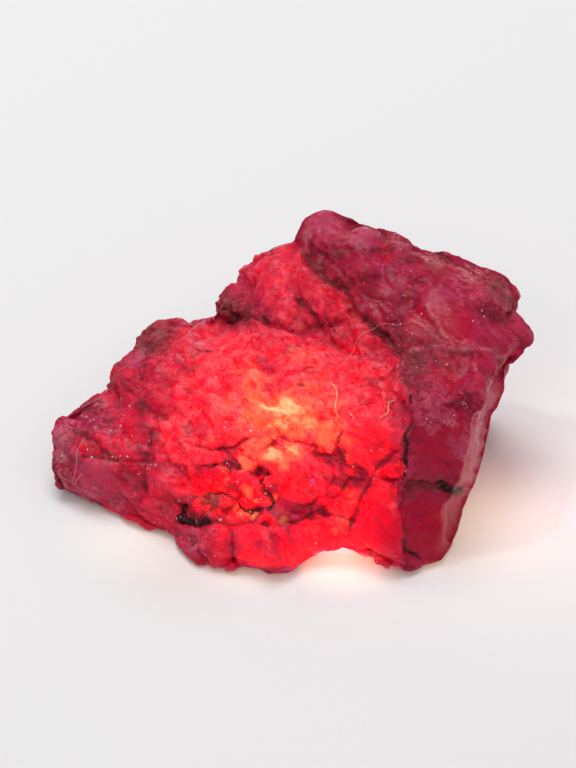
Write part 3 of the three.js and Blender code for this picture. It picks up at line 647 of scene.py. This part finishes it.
# Painted light: the hot glow over the lamp, orange to yellow.
PAINTED_HOTSPOT_ORANGE = (1.0, 0.22, 0.09, 1)
PAINTED_HOTSPOT_YELLOW = (1.0, 0.70, 0.34, 1)
MATRIX_MAROON = (0.19, 0.014, 0.022, 1)
MATRIX_OLIVE = (0.27, 0.052, 0.045, 1)
# Painted light: the matrix as lit from within, amber.
MATRIX_PAINTED_LIT_AMBER = (0.50, 0.09, 0.035, 1)
SEAM_RED = (0.13, 0.001, 0.006, 1)
JOINT_DARK = (0.24, 0.002, 0.014, 1)
# Painted light: the joints' lit copy, for where light comes through.
JOINT_PAINTED_LIT = (0.63, 0.0, 0.028, 1)
CRACK_DARK = (0.022, 0.003, 0.004, 1)


def new_material(name, piece):
    """The node tree and the shader of a new material on the piece."""
    material = bpy.data.materials.new(name)
    material.use_nodes = True
    piece.data.materials.append(material)
    return material.node_tree, material.node_tree.nodes["Principled BSDF"]


def feed(node, inputs):
    """Links or sets each of a node's inputs."""
    for key, value in inputs.items():
        if isinstance(value, bpy.types.NodeSocket):
            tree.links.new(value, node.inputs[key])
        else:
            node.inputs[key].default_value = value


def add(kind, inputs, **settings):
    """A node of some kind in the tree now being built."""
    made = tree.nodes.new("ShaderNode" + kind)
    for key, value in settings.items():
        setattr(made, key, value)
    feed(made, inputs)
    return made


def object_spot():
    return add("TexCoord", {}).outputs["Object"]


def mask(name):
    return add("Attribute", {}, attribute_name=name).outputs["Fac"]


def blend(share, first, second, how="MIX"):
    """The first colour where the share is 0, the second where it is 1."""
    inputs = {"Fac": share, "Color1": first, "Color2": second}
    return add("MixRGB", inputs, blend_type=how).outputs["Color"]


def sums(operation, first, *others, clamp=False):
    """One operation carried through some numbers in turn, held from 0 to 1 at the end if clamped."""
    total = first
    for other in others:
        total = add("Math", {0: total, 1: other}, operation=operation).outputs[0]
    total.node.use_clamp = clamp
    return total


plus = functools.partial(sums, "ADD")
times = functools.partial(sums, "MULTIPLY")
larger = functools.partial(sums, "MAXIMUM")


def vector_sum(operation, first, second):
    return add("VectorMath", {0: first, 1: second}, operation=operation).outputs[0]


def ranged(value, low_in, high_in, low_out, high_out):
    """A smooth climb from one number to another while the value goes from low_in to high_in."""
    inputs = {"Value": value, "From Min": low_in, "From Max": high_in, "To Min": low_out,
              "To Max": high_out}
    return add("MapRange", inputs, interpolation_type="SMOOTHSTEP").outputs["Result"]


def spread(value, low, high):
    """A number from 0 to 1 stretched straight to run from low to high."""
    return add("MapRange", {"Value": value, "To Min": low, "To Max": high}).outputs["Result"]


tree, skin = new_material("ruby", ruby)
spot = object_spot()
# The stone's colours run out in streaks along its own planes, so their coordinates are drawn out.
streak_turn = (0, math.radians(26.7), math.radians(-23.1))
inputs = {"Vector": spot, "Rotation": streak_turn, "Scale": (1.45, 1.0, 0.85)}
streaked = add("Mapping", inputs, vector_type="TEXTURE").outputs[0]


def per_size(at, size_mm):
    """The inputs of a texture laid at a place, with features of that size."""
    return {"Vector": at, "Scale": 1 / (size_mm * MM)}


def grain(size_mm, detail=4.0, rough=0.55, at=streaked):
    """Cloudy noise."""
    inputs = per_size(at, size_mm) | {"Detail": detail, "Roughness": rough}
    return add("TexNoise", inputs).outputs["Fac"]


def noisy(size_mm, low, high, reach=0.2, detail=5.0, rough=0.55):
    """Cloudy noise eased to run from low to high; a short reach makes its patches crisp."""
    return ranged(grain(size_mm, detail, rough), 0.5 - reach, 0.5 + reach, low, high)


def bent_spot(size_mm, reach_mm):
    """The drawn-out coordinates pushed about by cloudy noise."""
    push = add("TexNoise", per_size(streaked, size_mm) | {"Detail": 3.0}).outputs["Color"]
    push = vector_sum("SUBTRACT", push, (0.5, 0.5, 0.5))
    push = add("VectorMath", {0: push, "Scale": 2 * reach_mm * MM}, operation="SCALE").outputs[0]
    return vector_sum("ADD", streaked, push)


def hairlines(size_mm, width, presence):
    """Thin lines along the borders of scattered cells, broken off where the presence is low."""
    inputs = per_size(bent_spot(size_mm / 2, size_mm / 5), size_mm)
    cells = add("TexVoronoi", inputs, feature="DISTANCE_TO_EDGE")
    return times(ranged(cells.outputs["Distance"], 0.0, width, 1, 0), presence)


def lot_of(cells):
    """A number from 0 to 1 for each scattered cell."""
    return add("SeparateColor", {0: cells.outputs["Color"]}).outputs[0]


def flecks(size_mm, radius, rarity):
    """Small round dots in a few of the scattered cells."""
    cells = add("TexVoronoi", per_size(spot, size_mm))
    dot = ranged(cells.outputs["Distance"], radius * 0.5, radius, 1, 0)
    return times(dot, sums("GREATER_THAN", lot_of(cells), rarity))


def crumb_tint(size_mm):
    """A number of its own for every scattered cell, from 0 to 1, with crisp borders."""
    inputs = per_size(bent_spot(size_mm * 0.7, size_mm / 4), size_mm)
    return lot_of(add("TexVoronoi", inputs))


coarse_tint, fine_tint = crumb_tint(1.1), crumb_tint(0.42)


def patches(name, size_mm, low, high, most):
    """A mask's spots broken by cloudy noise into patches with fairly crisp borders."""
    noise = noisy(size_mm, -0.45, 0.45, detail=6, rough=0.7)
    edge = plus(mask(name), noise, spread(fine_tint, -0.12, 0.12))
    return ranged(edge, low, high, 0, most)


# The stone itself: cloudy where no light comes through, then painted lit colours, red, then
# salmon, where the lamp's light comes through; clean windows.
rough_skin = ranged(mask("calm"), 0, 1, 1, 0.35)
glow = plus(mask("glow"), spread(mask("tone"), -0.14, 0.14), noisy(1.6, -0.12, 0.12))
cloudy_share = plus(noisy(2.4, 0, 0.8, 0.12), spread(mask("tone"), -0.35, 0.45), clamp=True)
cloudy = blend(cloudy_share, CLOUDY_CRIMSON, CLOUDY_PURPLE)
# Painted light: the colour is painted brighter the more of the lamp's light comes through.
colour = blend(ranged(glow, 0.08, 0.5, 0, 1), cloudy, PAINTED_HALF_LIT_RED)
salmon_share = plus(
    ranged(grain(0.9, 6, 0.65), 0.36, 0.66, -0.2, 0.75), spread(coarse_tint, -0.18, 0.18),
    spread(fine_tint, -0.12, 0.15), noisy(0.22, -0.25, 0.25, 0.15, 4, 0.7), clamp=True,
)
salmon_share = times(salmon_share, rough_skin, mask("bruised"))
painted_lit = blend(salmon_share, PAINTED_LIT_RED, PAINTED_LIT_SALMON)
colour = blend(ranged(glow, 0.45, 0.85, 0, 1), colour, painted_lit)
# Painted light: the windows are painted in their lit red where the lamp's light comes through.
window = blend(ranged(glow, 0.2, 0.6, 0, 1), WINDOW_DARK, WINDOW_PAINTED_LIT)
clear = plus(mask("window"), spread(fine_tint, -0.15, 0.15))
colour = blend(ranged(clear, 0.25, 0.65, 0, 0.9), colour, window)

# What lies on it: purplish bloom with a painted sheen, pale frost with painted highlights, a
# painted hot glow over the lamp, brown matrix and dust.
# Partly painted light: the dusty bloom also paints a pale purplish sheen.
bloom_and_sheen_share = times(patches("bloom_and_sheen", 0.7, 0.4, 0.8, 0.75), ranged(glow, 0.3, 0.7, 1.0, 0.25))
colour = blend(bloom_and_sheen_share, colour, BLOOM_AND_SHEEN_PINK)
# Partly painted light: pale frost that also paints highlights.
colour = blend(patches("frost_and_highlight", 0.2, 0.4, 0.85, 0.6), colour, FROST_AND_HIGHLIGHT_PINK)
painted_hotspot = plus(mask("painted_hotspot"), noisy(0.7, -0.12, 0.12), spread(coarse_tint, -0.12, 0.12))
# Painted light: a hot orange and yellow glow painted over the lamp.
colour = blend(ranged(painted_hotspot, 0.12, 0.62, 0, 1), colour, PAINTED_HOTSPOT_ORANGE)
colour = blend(ranged(painted_hotspot, 0.6, 0.95, 0, 1), colour, PAINTED_HOTSPOT_YELLOW)
no_painted_hotspot = ranged(mask("painted_hotspot"), 0.15, 0.5, 1, 0)
matrix_share = times(patches("matrix", 0.24, 0.4, 0.8, 0.85), no_painted_hotspot)
matrix_colour = blend(noisy(0.7, 0, 1, 0.08, 4), MATRIX_MAROON, MATRIX_OLIVE)
# Painted light: the matrix is painted amber where the lamp's light comes through.
painted_lit_amber_share = times(ranged(glow, 0.55, 0.9, 0, 1), ranged(grain(0.3), 0.42, 0.56, 0, 0.9))
matrix_colour = blend(painted_lit_amber_share, matrix_colour, MATRIX_PAINTED_LIT_AMBER)
colour = blend(matrix_share, colour, matrix_colour)
dusty = larger(mask("bloom_and_sheen"), times(mask("matrix"), 0.8))
specks = times(flecks(0.3, 0.24, 0.84), ranged(dusty, 0.2, 0.7, 0, 0.8))
colour = blend(specks, colour, FROST_AND_HIGHLIGHT_PINK)

# Worn tops are paler, and hollows are darkened with painted shade, less where light comes through;
# each crumb has its own depth of colour.
hollow = times(
    ranged(mask("hollow"), 0.5, 1.0, 0, 0.28), rough_skin, ranged(glow, 0.1, 0.8, 1.0, 0.15),
    no_painted_hotspot,
)
colour = blend(hollow, colour, SEAM_RED)
worn = times(ranged(mask("hollow"), 0.42, 0.1, 0, 0.22), rough_skin)
colour = blend(worn, colour, WORN_PINK)
# Painted highlight: the ribs' ridges are painted pale.
rib_highlight_share = times(mask("rib"), ranged(grain(0.5), 0.35, 0.6, 0.1, 0.6))
colour = blend(rib_highlight_share, colour, FROST_AND_HIGHLIGHT_PINK)
tint = times(spread(fine_tint, 0.84, 1.2), spread(coarse_tint, 0.9, 1.14))
tint = sums("MINIMUM", tint, 1.15)
tint = add("CombineColor", {0: tint, 1: tint, 2: tint}).outputs[0]
colour = blend(rough_skin, colour, tint, "MULTIPLY")

# The crevices, from the signed distance kept on the mesh: a soft deep red line with black dirt in
# it. Where light comes through, the line is painted in its lit red, and its dirt and the seams are
# painted fainter. Then hairlines, the seams between facets, and flecks.
hair_presence = times(ranged(grain(1.6), 0.48, 0.62, 0, 0.7), rough_skin)
hair = larger(hairlines(1.5, 0.04, hair_presence), hairlines(0.7, 0.04, hair_presence))
seam_share = times(
    mask("seam"), ranged(grain(1.4), 0.42, 0.6, 0, 0.7), ranged(glow, 0.3, 0.9, 1.0, 0.4)
)
line_at = sums("ABSOLUTE", spread(mask("line_side"), -LINE_REACH, LINE_REACH), 0.0)
line_at = sums("DIVIDE", line_at, larger(mask("line_half"), 0.05))
joint_share = times(
    ranged(line_at, 0.2, 2.4, 0.85, 0), mask("line_near"), ranged(glow, 0.2, 0.7, 0.5, 1.0)
)
# Painted light: joints are painted in their lit red where light comes through.
joint_colour = blend(ranged(glow, 0.35, 0.75, 0, 1), JOINT_DARK, JOINT_PAINTED_LIT)
colour = blend(joint_share, colour, joint_colour)
colour = blend(larger(hair, seam_share), colour, SEAM_RED)
colour = blend(flecks(0.42, 0.16, 0.93), colour, CRACK_DARK)
colour = blend(flecks(0.27, 0.13, 0.94), colour, SEAM_RED)
ragged = plus(line_at, noisy(0.2, -0.35, 0.35, 0.15, 4, 0.7))
# Painted light: the black dirt is painted fainter where light comes through.
dirt = times(
    mask("line_dirt"), mask("line_near"), ranged(glow, 0.5, 0.9, 1.0, 0.34),
    ranged(grain(0.18, 4, 0.7), 0.36, 0.6, 1.0, 3.0),
)
crack_share = times(ranged(ragged, 0.55, 1.15, 1, 0), ranged(dirt, 0.25, 0.7, 0, 0.97))
colour = blend(crack_share, colour, CRACK_DARK)

# How far light goes into the stone: deep where it glows, hardly at all through dirt and matrix.
dense = larger(times(matrix_share, 1.5), crack_share, times(joint_share, 0.28))
light_depth = ranged(glow, 0.2, 0.9, 0.12 * MM, 5.0 * MM)
light_depth = times(light_depth, sums("SUBTRACT", 1.0, dense, clamp=True))
gloss = plus(noisy(0.3, 0.16, 0.40, 0.15), spread(mask("grainy"), -0.05, 0.16))
gloss = sums("SUBTRACT", gloss, times(mask("calm"), 0.1))

# Facets and pits too small for the mesh: each scattered cell is a tilted flat, tilt times distance.
layers = []
for size_mm, lift in ((0.45, 0.5), (0.2, 0.4)):
    cells = add("TexVoronoi", per_size(bent_spot(size_mm, size_mm / 6), size_mm)).outputs
    tilt = vector_sum("SUBTRACT", cells["Color"], (0.5, 0.5, 0.5))
    away = vector_sum("SUBTRACT", streaked, cells["Position"])
    flat = add("VectorMath", {0: tilt, 1: away}, operation="DOT_PRODUCT").outputs["Value"]
    layers.append(times(flat, lift))
height = plus(*layers, times(grain(0.15, 5), 0.02 * MM))
height = times(height, ranged(mask("calm"), 0, 1, 1, 0.25), spread(mask("grainy"), 0.15, 1.0))
bump = add("Bump", {"Height": height, "Strength": 1.0, "Distance": 1.0})

skin.subsurface_method = "RANDOM_WALK"
feed(skin, {
    "Base Color": colour, "Roughness": gloss, "IOR": 1.6, "Specular IOR Level": 0.13,
    "Subsurface Weight": 1.0, "Subsurface Radius": (1.0, 0.4, 0.3),
    "Subsurface Scale": larger(light_depth, 0.1 * MM), "Normal": bump.outputs["Normal"],
})

# ------------------------------
# Lint. A few hairs of dust and packing wool caught on the rough skin: thin round threads that
# follow it, pale and dull.

THREADS = [  # radius in mm, and the course over the front in U and V
    (0.07, [(3.3, 0.7), (3.9, 0.0), (3.9, -1.4), (4.2, -2.6)]),
    (0.016, [(10.1, 5.5), (7.6, 5.2), (5.8, 4.2), (4.7, 2.8), (3.8, 1.5)]),
    (0.05, [(8.7, -0.8), (8.1, -1.0), (8.0, -2.0), (7.2, -2.6)]),
    (0.022, [(-17.1, -3.7), (-17.7, -5.0), (-17.8, -6.6), (-18.0, -7.8)]),
    (0.026, [(-17.8, -7.8), (-17.2, -6.9)]),
]
THREAD_SIDES = 6
THREAD_STEPS = 28
THREAD_LIFT = 0.1  # mm between a thread and the skin under it
THREAD_PALE = ((0.70, 0.26, 0.16, 1), (0.80, 0.50, 0.28, 1))

skin_u, skin_v = u[on_front == 1], v[on_front == 1]
skin_at, skin_out = stone[on_front == 1], outward(stone)[on_front == 1]


def on_skin(at_u, at_v, reach=0.12):
    """The place and outward direction on the front at each (u, v): the mean over the mesh points
    round about, each weighted by a bell of its distance."""
    squared = (skin_u - at_u[:, None]) ** 2 + (skin_v - at_v[:, None]) ** 2
    weight = np.exp(-squared / (2 * reach ** 2)) + 1e-12
    weight /= weight.sum(1, keepdims=True)
    out = weight @ skin_out
    return weight @ skin_at, out / np.linalg.norm(out, axis=1, keepdims=True)


def thread(radius, course):
    """A tube along a smooth curve through the course, held just off the skin. The curve is the mean
    of straight lines between the course's points over a sliding window. It thins to its ends."""
    course = np.array(course)
    at = np.linspace(0, len(course) - 1, 4 * THREAD_STEPS)
    line = np.stack([np.interp(at, np.arange(len(course)), course[:, k]) for k in (0, 1)], -1)
    window = np.hanning(THREAD_STEPS + 1)
    window /= window.sum()
    padded = np.pad(line, ((len(window) // 2,) * 2, (0, 0)), mode="edge")
    line = np.stack([np.convolve(padded[:, k], window, mode="valid") for k in (0, 1)], -1)[::4]
    path, out = on_skin(line[:, 0], line[:, 1], 0.25)
    path = path + out * (radius + THREAD_LIFT)
    along = np.gradient(path, axis=0)
    along /= np.linalg.norm(along, axis=1, keepdims=True)
    side = np.cross(along, out.mean(0))
    side /= np.linalg.norm(side, axis=1, keepdims=True)
    up = np.cross(side, along)
    turn = np.linspace(0, 2 * math.pi, THREAD_SIDES, endpoint=False)[None, :, None]
    taper = (radius * np.sqrt(np.sin(np.linspace(0.12, math.pi - 0.12, len(path)))))[:, None, None]
    rings = path[:, None] + taper * (np.cos(turn) * side[:, None] + np.sin(turn) * up[:, None])
    points = np.vstack([rings.reshape(-1, 3), path[:1], path[-1:]])
    number = np.arange(len(path) * THREAD_SIDES).reshape(-1, THREAD_SIDES)
    after = np.roll(number, -1, 1)
    first, last = np.full((2, THREAD_SIDES), [[len(points) - 2], [len(points) - 1]])
    caps = np.vstack([
        np.stack([first, number[0], after[0]], -1), np.stack([last, after[-1], number[-1]], -1)
    ])
    return points, ring_faces(number), caps


lint_points, lint_faces = [], []
for radius, course in THREADS:
    points, faces, caps = thread(radius, course)
    base = sum(len(part) for part in lint_points)
    lint_faces += (faces + base).tolist() + (caps + base).tolist()
    lint_points.append(points)
lint = new_piece("lint", np.vstack(lint_points), lint_faces, True)
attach(lint, "root")

tree, skin = new_material("lint", lint)
thread_share = ranged(grain(0.5, 3, at=object_spot()), 0.4, 0.6, 0, 1)
feed(skin, {"Base Color": blend(thread_share, *THREAD_PALE), "Roughness": 0.8})

# ------------------------------
# Grit. Crumbs of mica and crushed stone lodged in the skin: tiny flat chips with sharp corners,
# pale and shiny, with a few larger ones violet or amber.

CHIPS = 480
TRIES = 6 * CHIPS  # places drawn, of which the first good ones are kept
PALE_PINK, PALE_GREY = (0.80, 0.42, 0.48, 1), (0.78, 0.66, 0.66, 1)
VIOLET, AMBER = (0.20, 0.06, 0.34, 1), (0.62, 0.24, 0.07, 1)
# The larger ones, at U and V, with their half-width in mm.
PALE_CHIPS = [  # the larger pale ones, at U and V, with their half-width in mm
    (9.25, 12.0, 0.16), (11.4, 10.7, 0.17), (11.9, 10.25, 0.14), (13.1, 6.6, 0.13),
    (15.1, 5.7, 0.13), (10.9, 6.3, 0.12), (9.7, 4.9, 0.2), (6.7, -5.0, 0.12), (12.9, 2.1, 0.13),
    (-3.0, 4.9, 0.12), (-7.5, 3.75, 0.15), (-5.4, -6.7, 0.13), (5.15, -2.3, 0.18), (2.2, -2.9, 0.1),
    (7.2, -0.1, 0.1), (-9.2, 4.0, 0.14), (-11.1, 3.3, 0.12), (-14.2, -2.7, 0.17),
    (-13.2, -3.7, 0.12), (-11.8, -6.5, 0.16), (-19.1, -5.5, 0.16), (11.1, -2.3, 0.14),
    (11.5, -2.6, 0.1), (13.4, -2.0, 0.12), (15.2, -2.4, 0.15), (15.6, -2.7, 0.13),
    (-16.2, -3.0, 0.14), (-6.3, 1.2, 0.11), (14.2, -5.8, 0.1), (-2.0, -13.2, 0.1),
]
VIOLET_CHIPS = [
    (1.6, -7.1, 0.26), (1.9, -7.4, 0.3), (1.75, -7.8, 0.22), (2.2, -7.0, 0.2), (-4.3, -2.2, 0.16),
    (-4.0, -2.4, 0.14), (16.4, -2.3, 0.2), (16.1, -2.5, 0.16), (17.7, 1.1, 0.16),
    (-18.9, -5.2, 0.15),
]
AMBER_CHIPS = [
    (12.4, -2.4, 0.16), (12.6, -2.6, 0.18), (12.8, -2.8, 0.12), (9.6, 7.8, 0.16), (5.2, 12.4, 0.12),
    (-11.6, -6.6, 0.16), (-14.0, -1.9, 0.14), (-3.2, -10.3, 0.14), (-2.4, -10.6, 0.12),
]

rng = np.random.default_rng(11)
lone_u, lone_v = rng.uniform(-19.5, 19.5, TRIES), rng.uniform(-14.5, 15, TRIES)
inside = np.hypot(lone_u, lone_v) < reach_at(np.arctan2(lone_v, lone_u)) * 0.96
rough_there = 1 - spots_on(lone_u, lone_v, CALM_SPOTS) > 0.4 + 0.6 * rng.random(TRIES)
clusters = cloud(np.stack([lone_u, lone_v, 0 * lone_u], 1), 3.0, 2, 15)
clustered = clusters > -0.05 + 0.3 * rng.random(TRIES)
kept = np.flatnonzero(inside & rough_there & clustered)[:CHIPS]
named = np.array(PALE_CHIPS + VIOLET_CHIPS + AMBER_CHIPS)
chip_u = np.concatenate([named[:, 0], lone_u[kept]])
chip_v = np.concatenate([named[:, 1], lone_v[kept]])
half = np.concatenate([named[:, 2], 0.035 + 0.1 * rng.random(len(kept)) ** 2.5])
centre_at, chip_out = on_skin(chip_u, chip_v)
# Each chip is a flattened eight-faced lump whose six corners are pushed about.
corners = np.array([(1, 0, 0), (-1, 0, 0), (0, 1, 0), (0, -1, 0), (0, 0, 1), (0, 0, -1)], float)
corners = corners * rng.uniform(0.55, 1.2, (len(half), 6, 1)) * (1, 0.8, 0.45)
chip_z = chip_out + rng.normal(0, 0.5, (len(half), 3))
chip_z /= np.linalg.norm(chip_z, axis=1, keepdims=True)
chip_x = np.cross(chip_z, rng.normal(size=(len(half), 3)))
chip_x /= np.linalg.norm(chip_x, axis=1, keepdims=True)
axes = np.stack([chip_x, np.cross(chip_z, chip_x), chip_z], 1)
chips = centre_at[:, None] + (corners * half[:, None, None]) @ axes
chip_faces = np.array([
    (0, 2, 4), (2, 1, 4), (1, 3, 4), (3, 0, 4), (2, 0, 5), (1, 2, 5), (3, 1, 5), (0, 3, 5)
])
chip_faces = (chip_faces + 6 * np.arange(len(half))[:, None, None]).reshape(-1, 3)
grit = new_piece("grit", chips.reshape(-1, 3), chip_faces.tolist())
counts = [len(PALE_CHIPS), len(VIOLET_CHIPS), len(AMBER_CHIPS), len(kept)]
write_mask(grit, "stained", np.repeat(np.repeat([0, 0.5, 1, 0], counts), 6))
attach(grit, "root")

tree, skin = new_material("grit", grit)
spot, stained = object_spot(), mask("stained")
chip_colour = blend(ranged(grain(1.2, 2, at=spot), 0.45, 0.6, 0, 1), PALE_PINK, PALE_GREY)
chip_colour = blend(ranged(stained, 0.2, 0.4, 0, 1), chip_colour, VIOLET)
chip_colour = blend(ranged(stained, 0.6, 0.9, 0, 1), chip_colour, AMBER)
chip_gloss = ranged(grain(0.8, 2, at=spot), 0.3, 0.7, 0.12, 0.4)
feed(skin, {"Base Color": chip_colour, "Roughness": chip_gloss})

# ------------------------------
# The table. A smooth pale board with a round opening under the stone, over the lamp. The light
# that creeps out from under the stone is painted on the board: painted pools of light in its colour,
# and a painted glow shining from it beside the stone.

OPENING = 6.6  # radius of the opening, mm
TABLE_REACH = 1500.0  # radius of the board, mm
TABLE_SIDES = 96
TABLE_DROP = 0.03  # mm between the board and the stone's flat underside
LAMP_AT = np.array([0.5, -4.0, -6.0]) + place  # under the clearest part of the stone
BOARD_GREY, BOARD_PAINTED_LIGHT = (0.81, 0.81, 0.815, 1), (0.93, 0.90, 0.905, 1)
BOARD_PAINTED_WARM = (0.84, 0.66, 0.60, 1)
# Painted light: pools of glow painted on the board where light leaks out from under the stone.
PAINTED_GLOW_POOLS = [  # light on the board, from the stone's own middle: place and reach in mm, and strength
    ((4.4, -11.6, 0), 6.5, 0.5), ((11.5, -11.6, 0), 4.5, 0.3), ((-3, -12, 0), 7, 0.2),
    ((14.5, -7, 0), 11, 0.3), ((-13, -9, 0), 8, 0.12),
]

turn = np.linspace(0, 2 * math.pi, TABLE_SIDES, endpoint=False)
radii = np.array([OPENING, 20, 60, 200, TABLE_REACH])[:, None]
board = np.stack([
    LAMP_AT[0] + radii * np.cos(turn), LAMP_AT[1] + radii * np.sin(turn),
    np.full((len(radii), TABLE_SIDES), -TABLE_DROP),
], -1)
board_faces = ring_faces(np.arange(len(radii) * TABLE_SIDES).reshape(-1, TABLE_SIDES))
table = new_piece("table", board.reshape(-1, 3), board_faces.tolist())

tree, skin = new_material("pale_board", table)
spot = object_spot()


def pool(at_mm, reach_mm, strength):
    """A round pool that fades out from a place on the board: its strength there, 0 outside."""
    away = add("VectorMath", {0: spot, 1: tuple(np.array(at_mm) * MM)}, operation="DISTANCE")
    return ranged(away.outputs["Value"], 0.0, reach_mm * MM, strength, 0.0)


# Painted light: the board is painted paler where the stone's shadow falls at its right, and warm
# beside the stone's lower left.
board_colour = blend(pool((20, -3, 0), 26, 1.0), BOARD_GREY, BOARD_PAINTED_LIGHT)
board_colour = blend(pool((-9, -13, 0), 9, 0.35), board_colour, BOARD_PAINTED_WARM)
# Painted light: the board shines with this painted glow beside the stone.
painted_glow = larger(*(pool(at + place, reach, strength) for at, reach, strength in PAINTED_GLOW_POOLS))
feed(skin, {
    "Base Color": board_colour, "Roughness": 0.6, "Specular IOR Level": 0.2,
    "Emission Color": (1.0, 0.77, 0.47, 1), "Emission Strength": painted_glow,
})

# ------------------------------
# Light: a dim pale room, broad soft light from high in front to the left, two soft lamps above and
# behind, the small warm lamp under the table, and what leaks out red at the stone's right.

WHITE, WARM, LEAK_RED = (1.0, 0.99, 1.0), (1.0, 0.78, 0.52), (1.0, 0.3, 0.24)


def new_light(name, kind, at_mm, towards_mm, watts, colour=(1, 1, 1), **settings):
    """A light at a place, turned to shine towards another."""
    lamp = bpy.data.lights.new(name, kind)
    lamp.energy = watts
    lamp.color = colour
    for key, value in settings.items():
        setattr(lamp, key, value)
    holder = bpy.data.objects.new(name, lamp)
    bpy.context.scene.collection.objects.link(holder)
    holder.location = np.array(at_mm) * MM
    aim = Vector(np.array(towards_mm, float) - np.array(at_mm, float))
    holder.rotation_euler = aim.to_track_quat("-Z", "Y").to_euler()
    holder.visible_camera = False


world = bpy.data.worlds.new("room")
bpy.context.scene.world = world
world.use_nodes = True
world.node_tree.nodes["Background"].inputs["Color"].default_value = (1.0, 0.99, 0.99, 1)
world.node_tree.nodes["Background"].inputs["Strength"].default_value = 0.42
new_light("window_light", "SUN", (0, 0, 0), (0.1, 0.62, -0.76), 0.55, angle=math.radians(55))
new_light("softbox", "AREA", (-40, 170, 480), (0, 0, 8), 1.15, WHITE, size=260 * MM)
new_light("small_window", "AREA", (-190, 60, 420), (0, 0, 8), 0.24, WHITE, size=36 * MM)
new_light("under_lamp", "AREA", LAMP_AT, LAMP_AT + (0, 0, 10), 0.3, WARM, shape="DISK", size=7 * MM)
new_light(
    "leak_right", "POINT", (22.5, -7, 8), (22.5, -7, 0), 0.0005, LEAK_RED, shadow_soft_size=4 * MM
)

bpy.context.scene.view_settings.view_transform = "Standard"
bpy.context.scene.view_settings.look = "None"

# ------------------------------
# The camera looks down along D, from far enough off to draw the stone without strong perspective.

VIEW_HEIGHT = 64.0  # mm of the leaning plane from the bottom of the picture to the top
VIEW_MIDDLE = (-0.17, 0.5)  # U and V at the middle of the picture
AWAY = 480.0  # mm from there to the camera
SENSOR = 36
centre = placed(*VIEW_MIDDLE, 0.0) + place
eye = placed(*VIEW_MIDDLE, AWAY) + place
camera_data = bpy.data.cameras.new("camera")
camera_data.sensor_width = SENSOR
camera_data.lens = SENSOR * AWAY / VIEW_HEIGHT
camera_data.clip_start = 0.01
camera = bpy.data.objects.new("camera", camera_data)
bpy.context.scene.collection.objects.link(camera)
camera.location = eye * MM
camera.rotation_euler = Vector(centre - eye).to_track_quat("-Z", "Y").to_euler()
bpy.context.scene.camera = camera
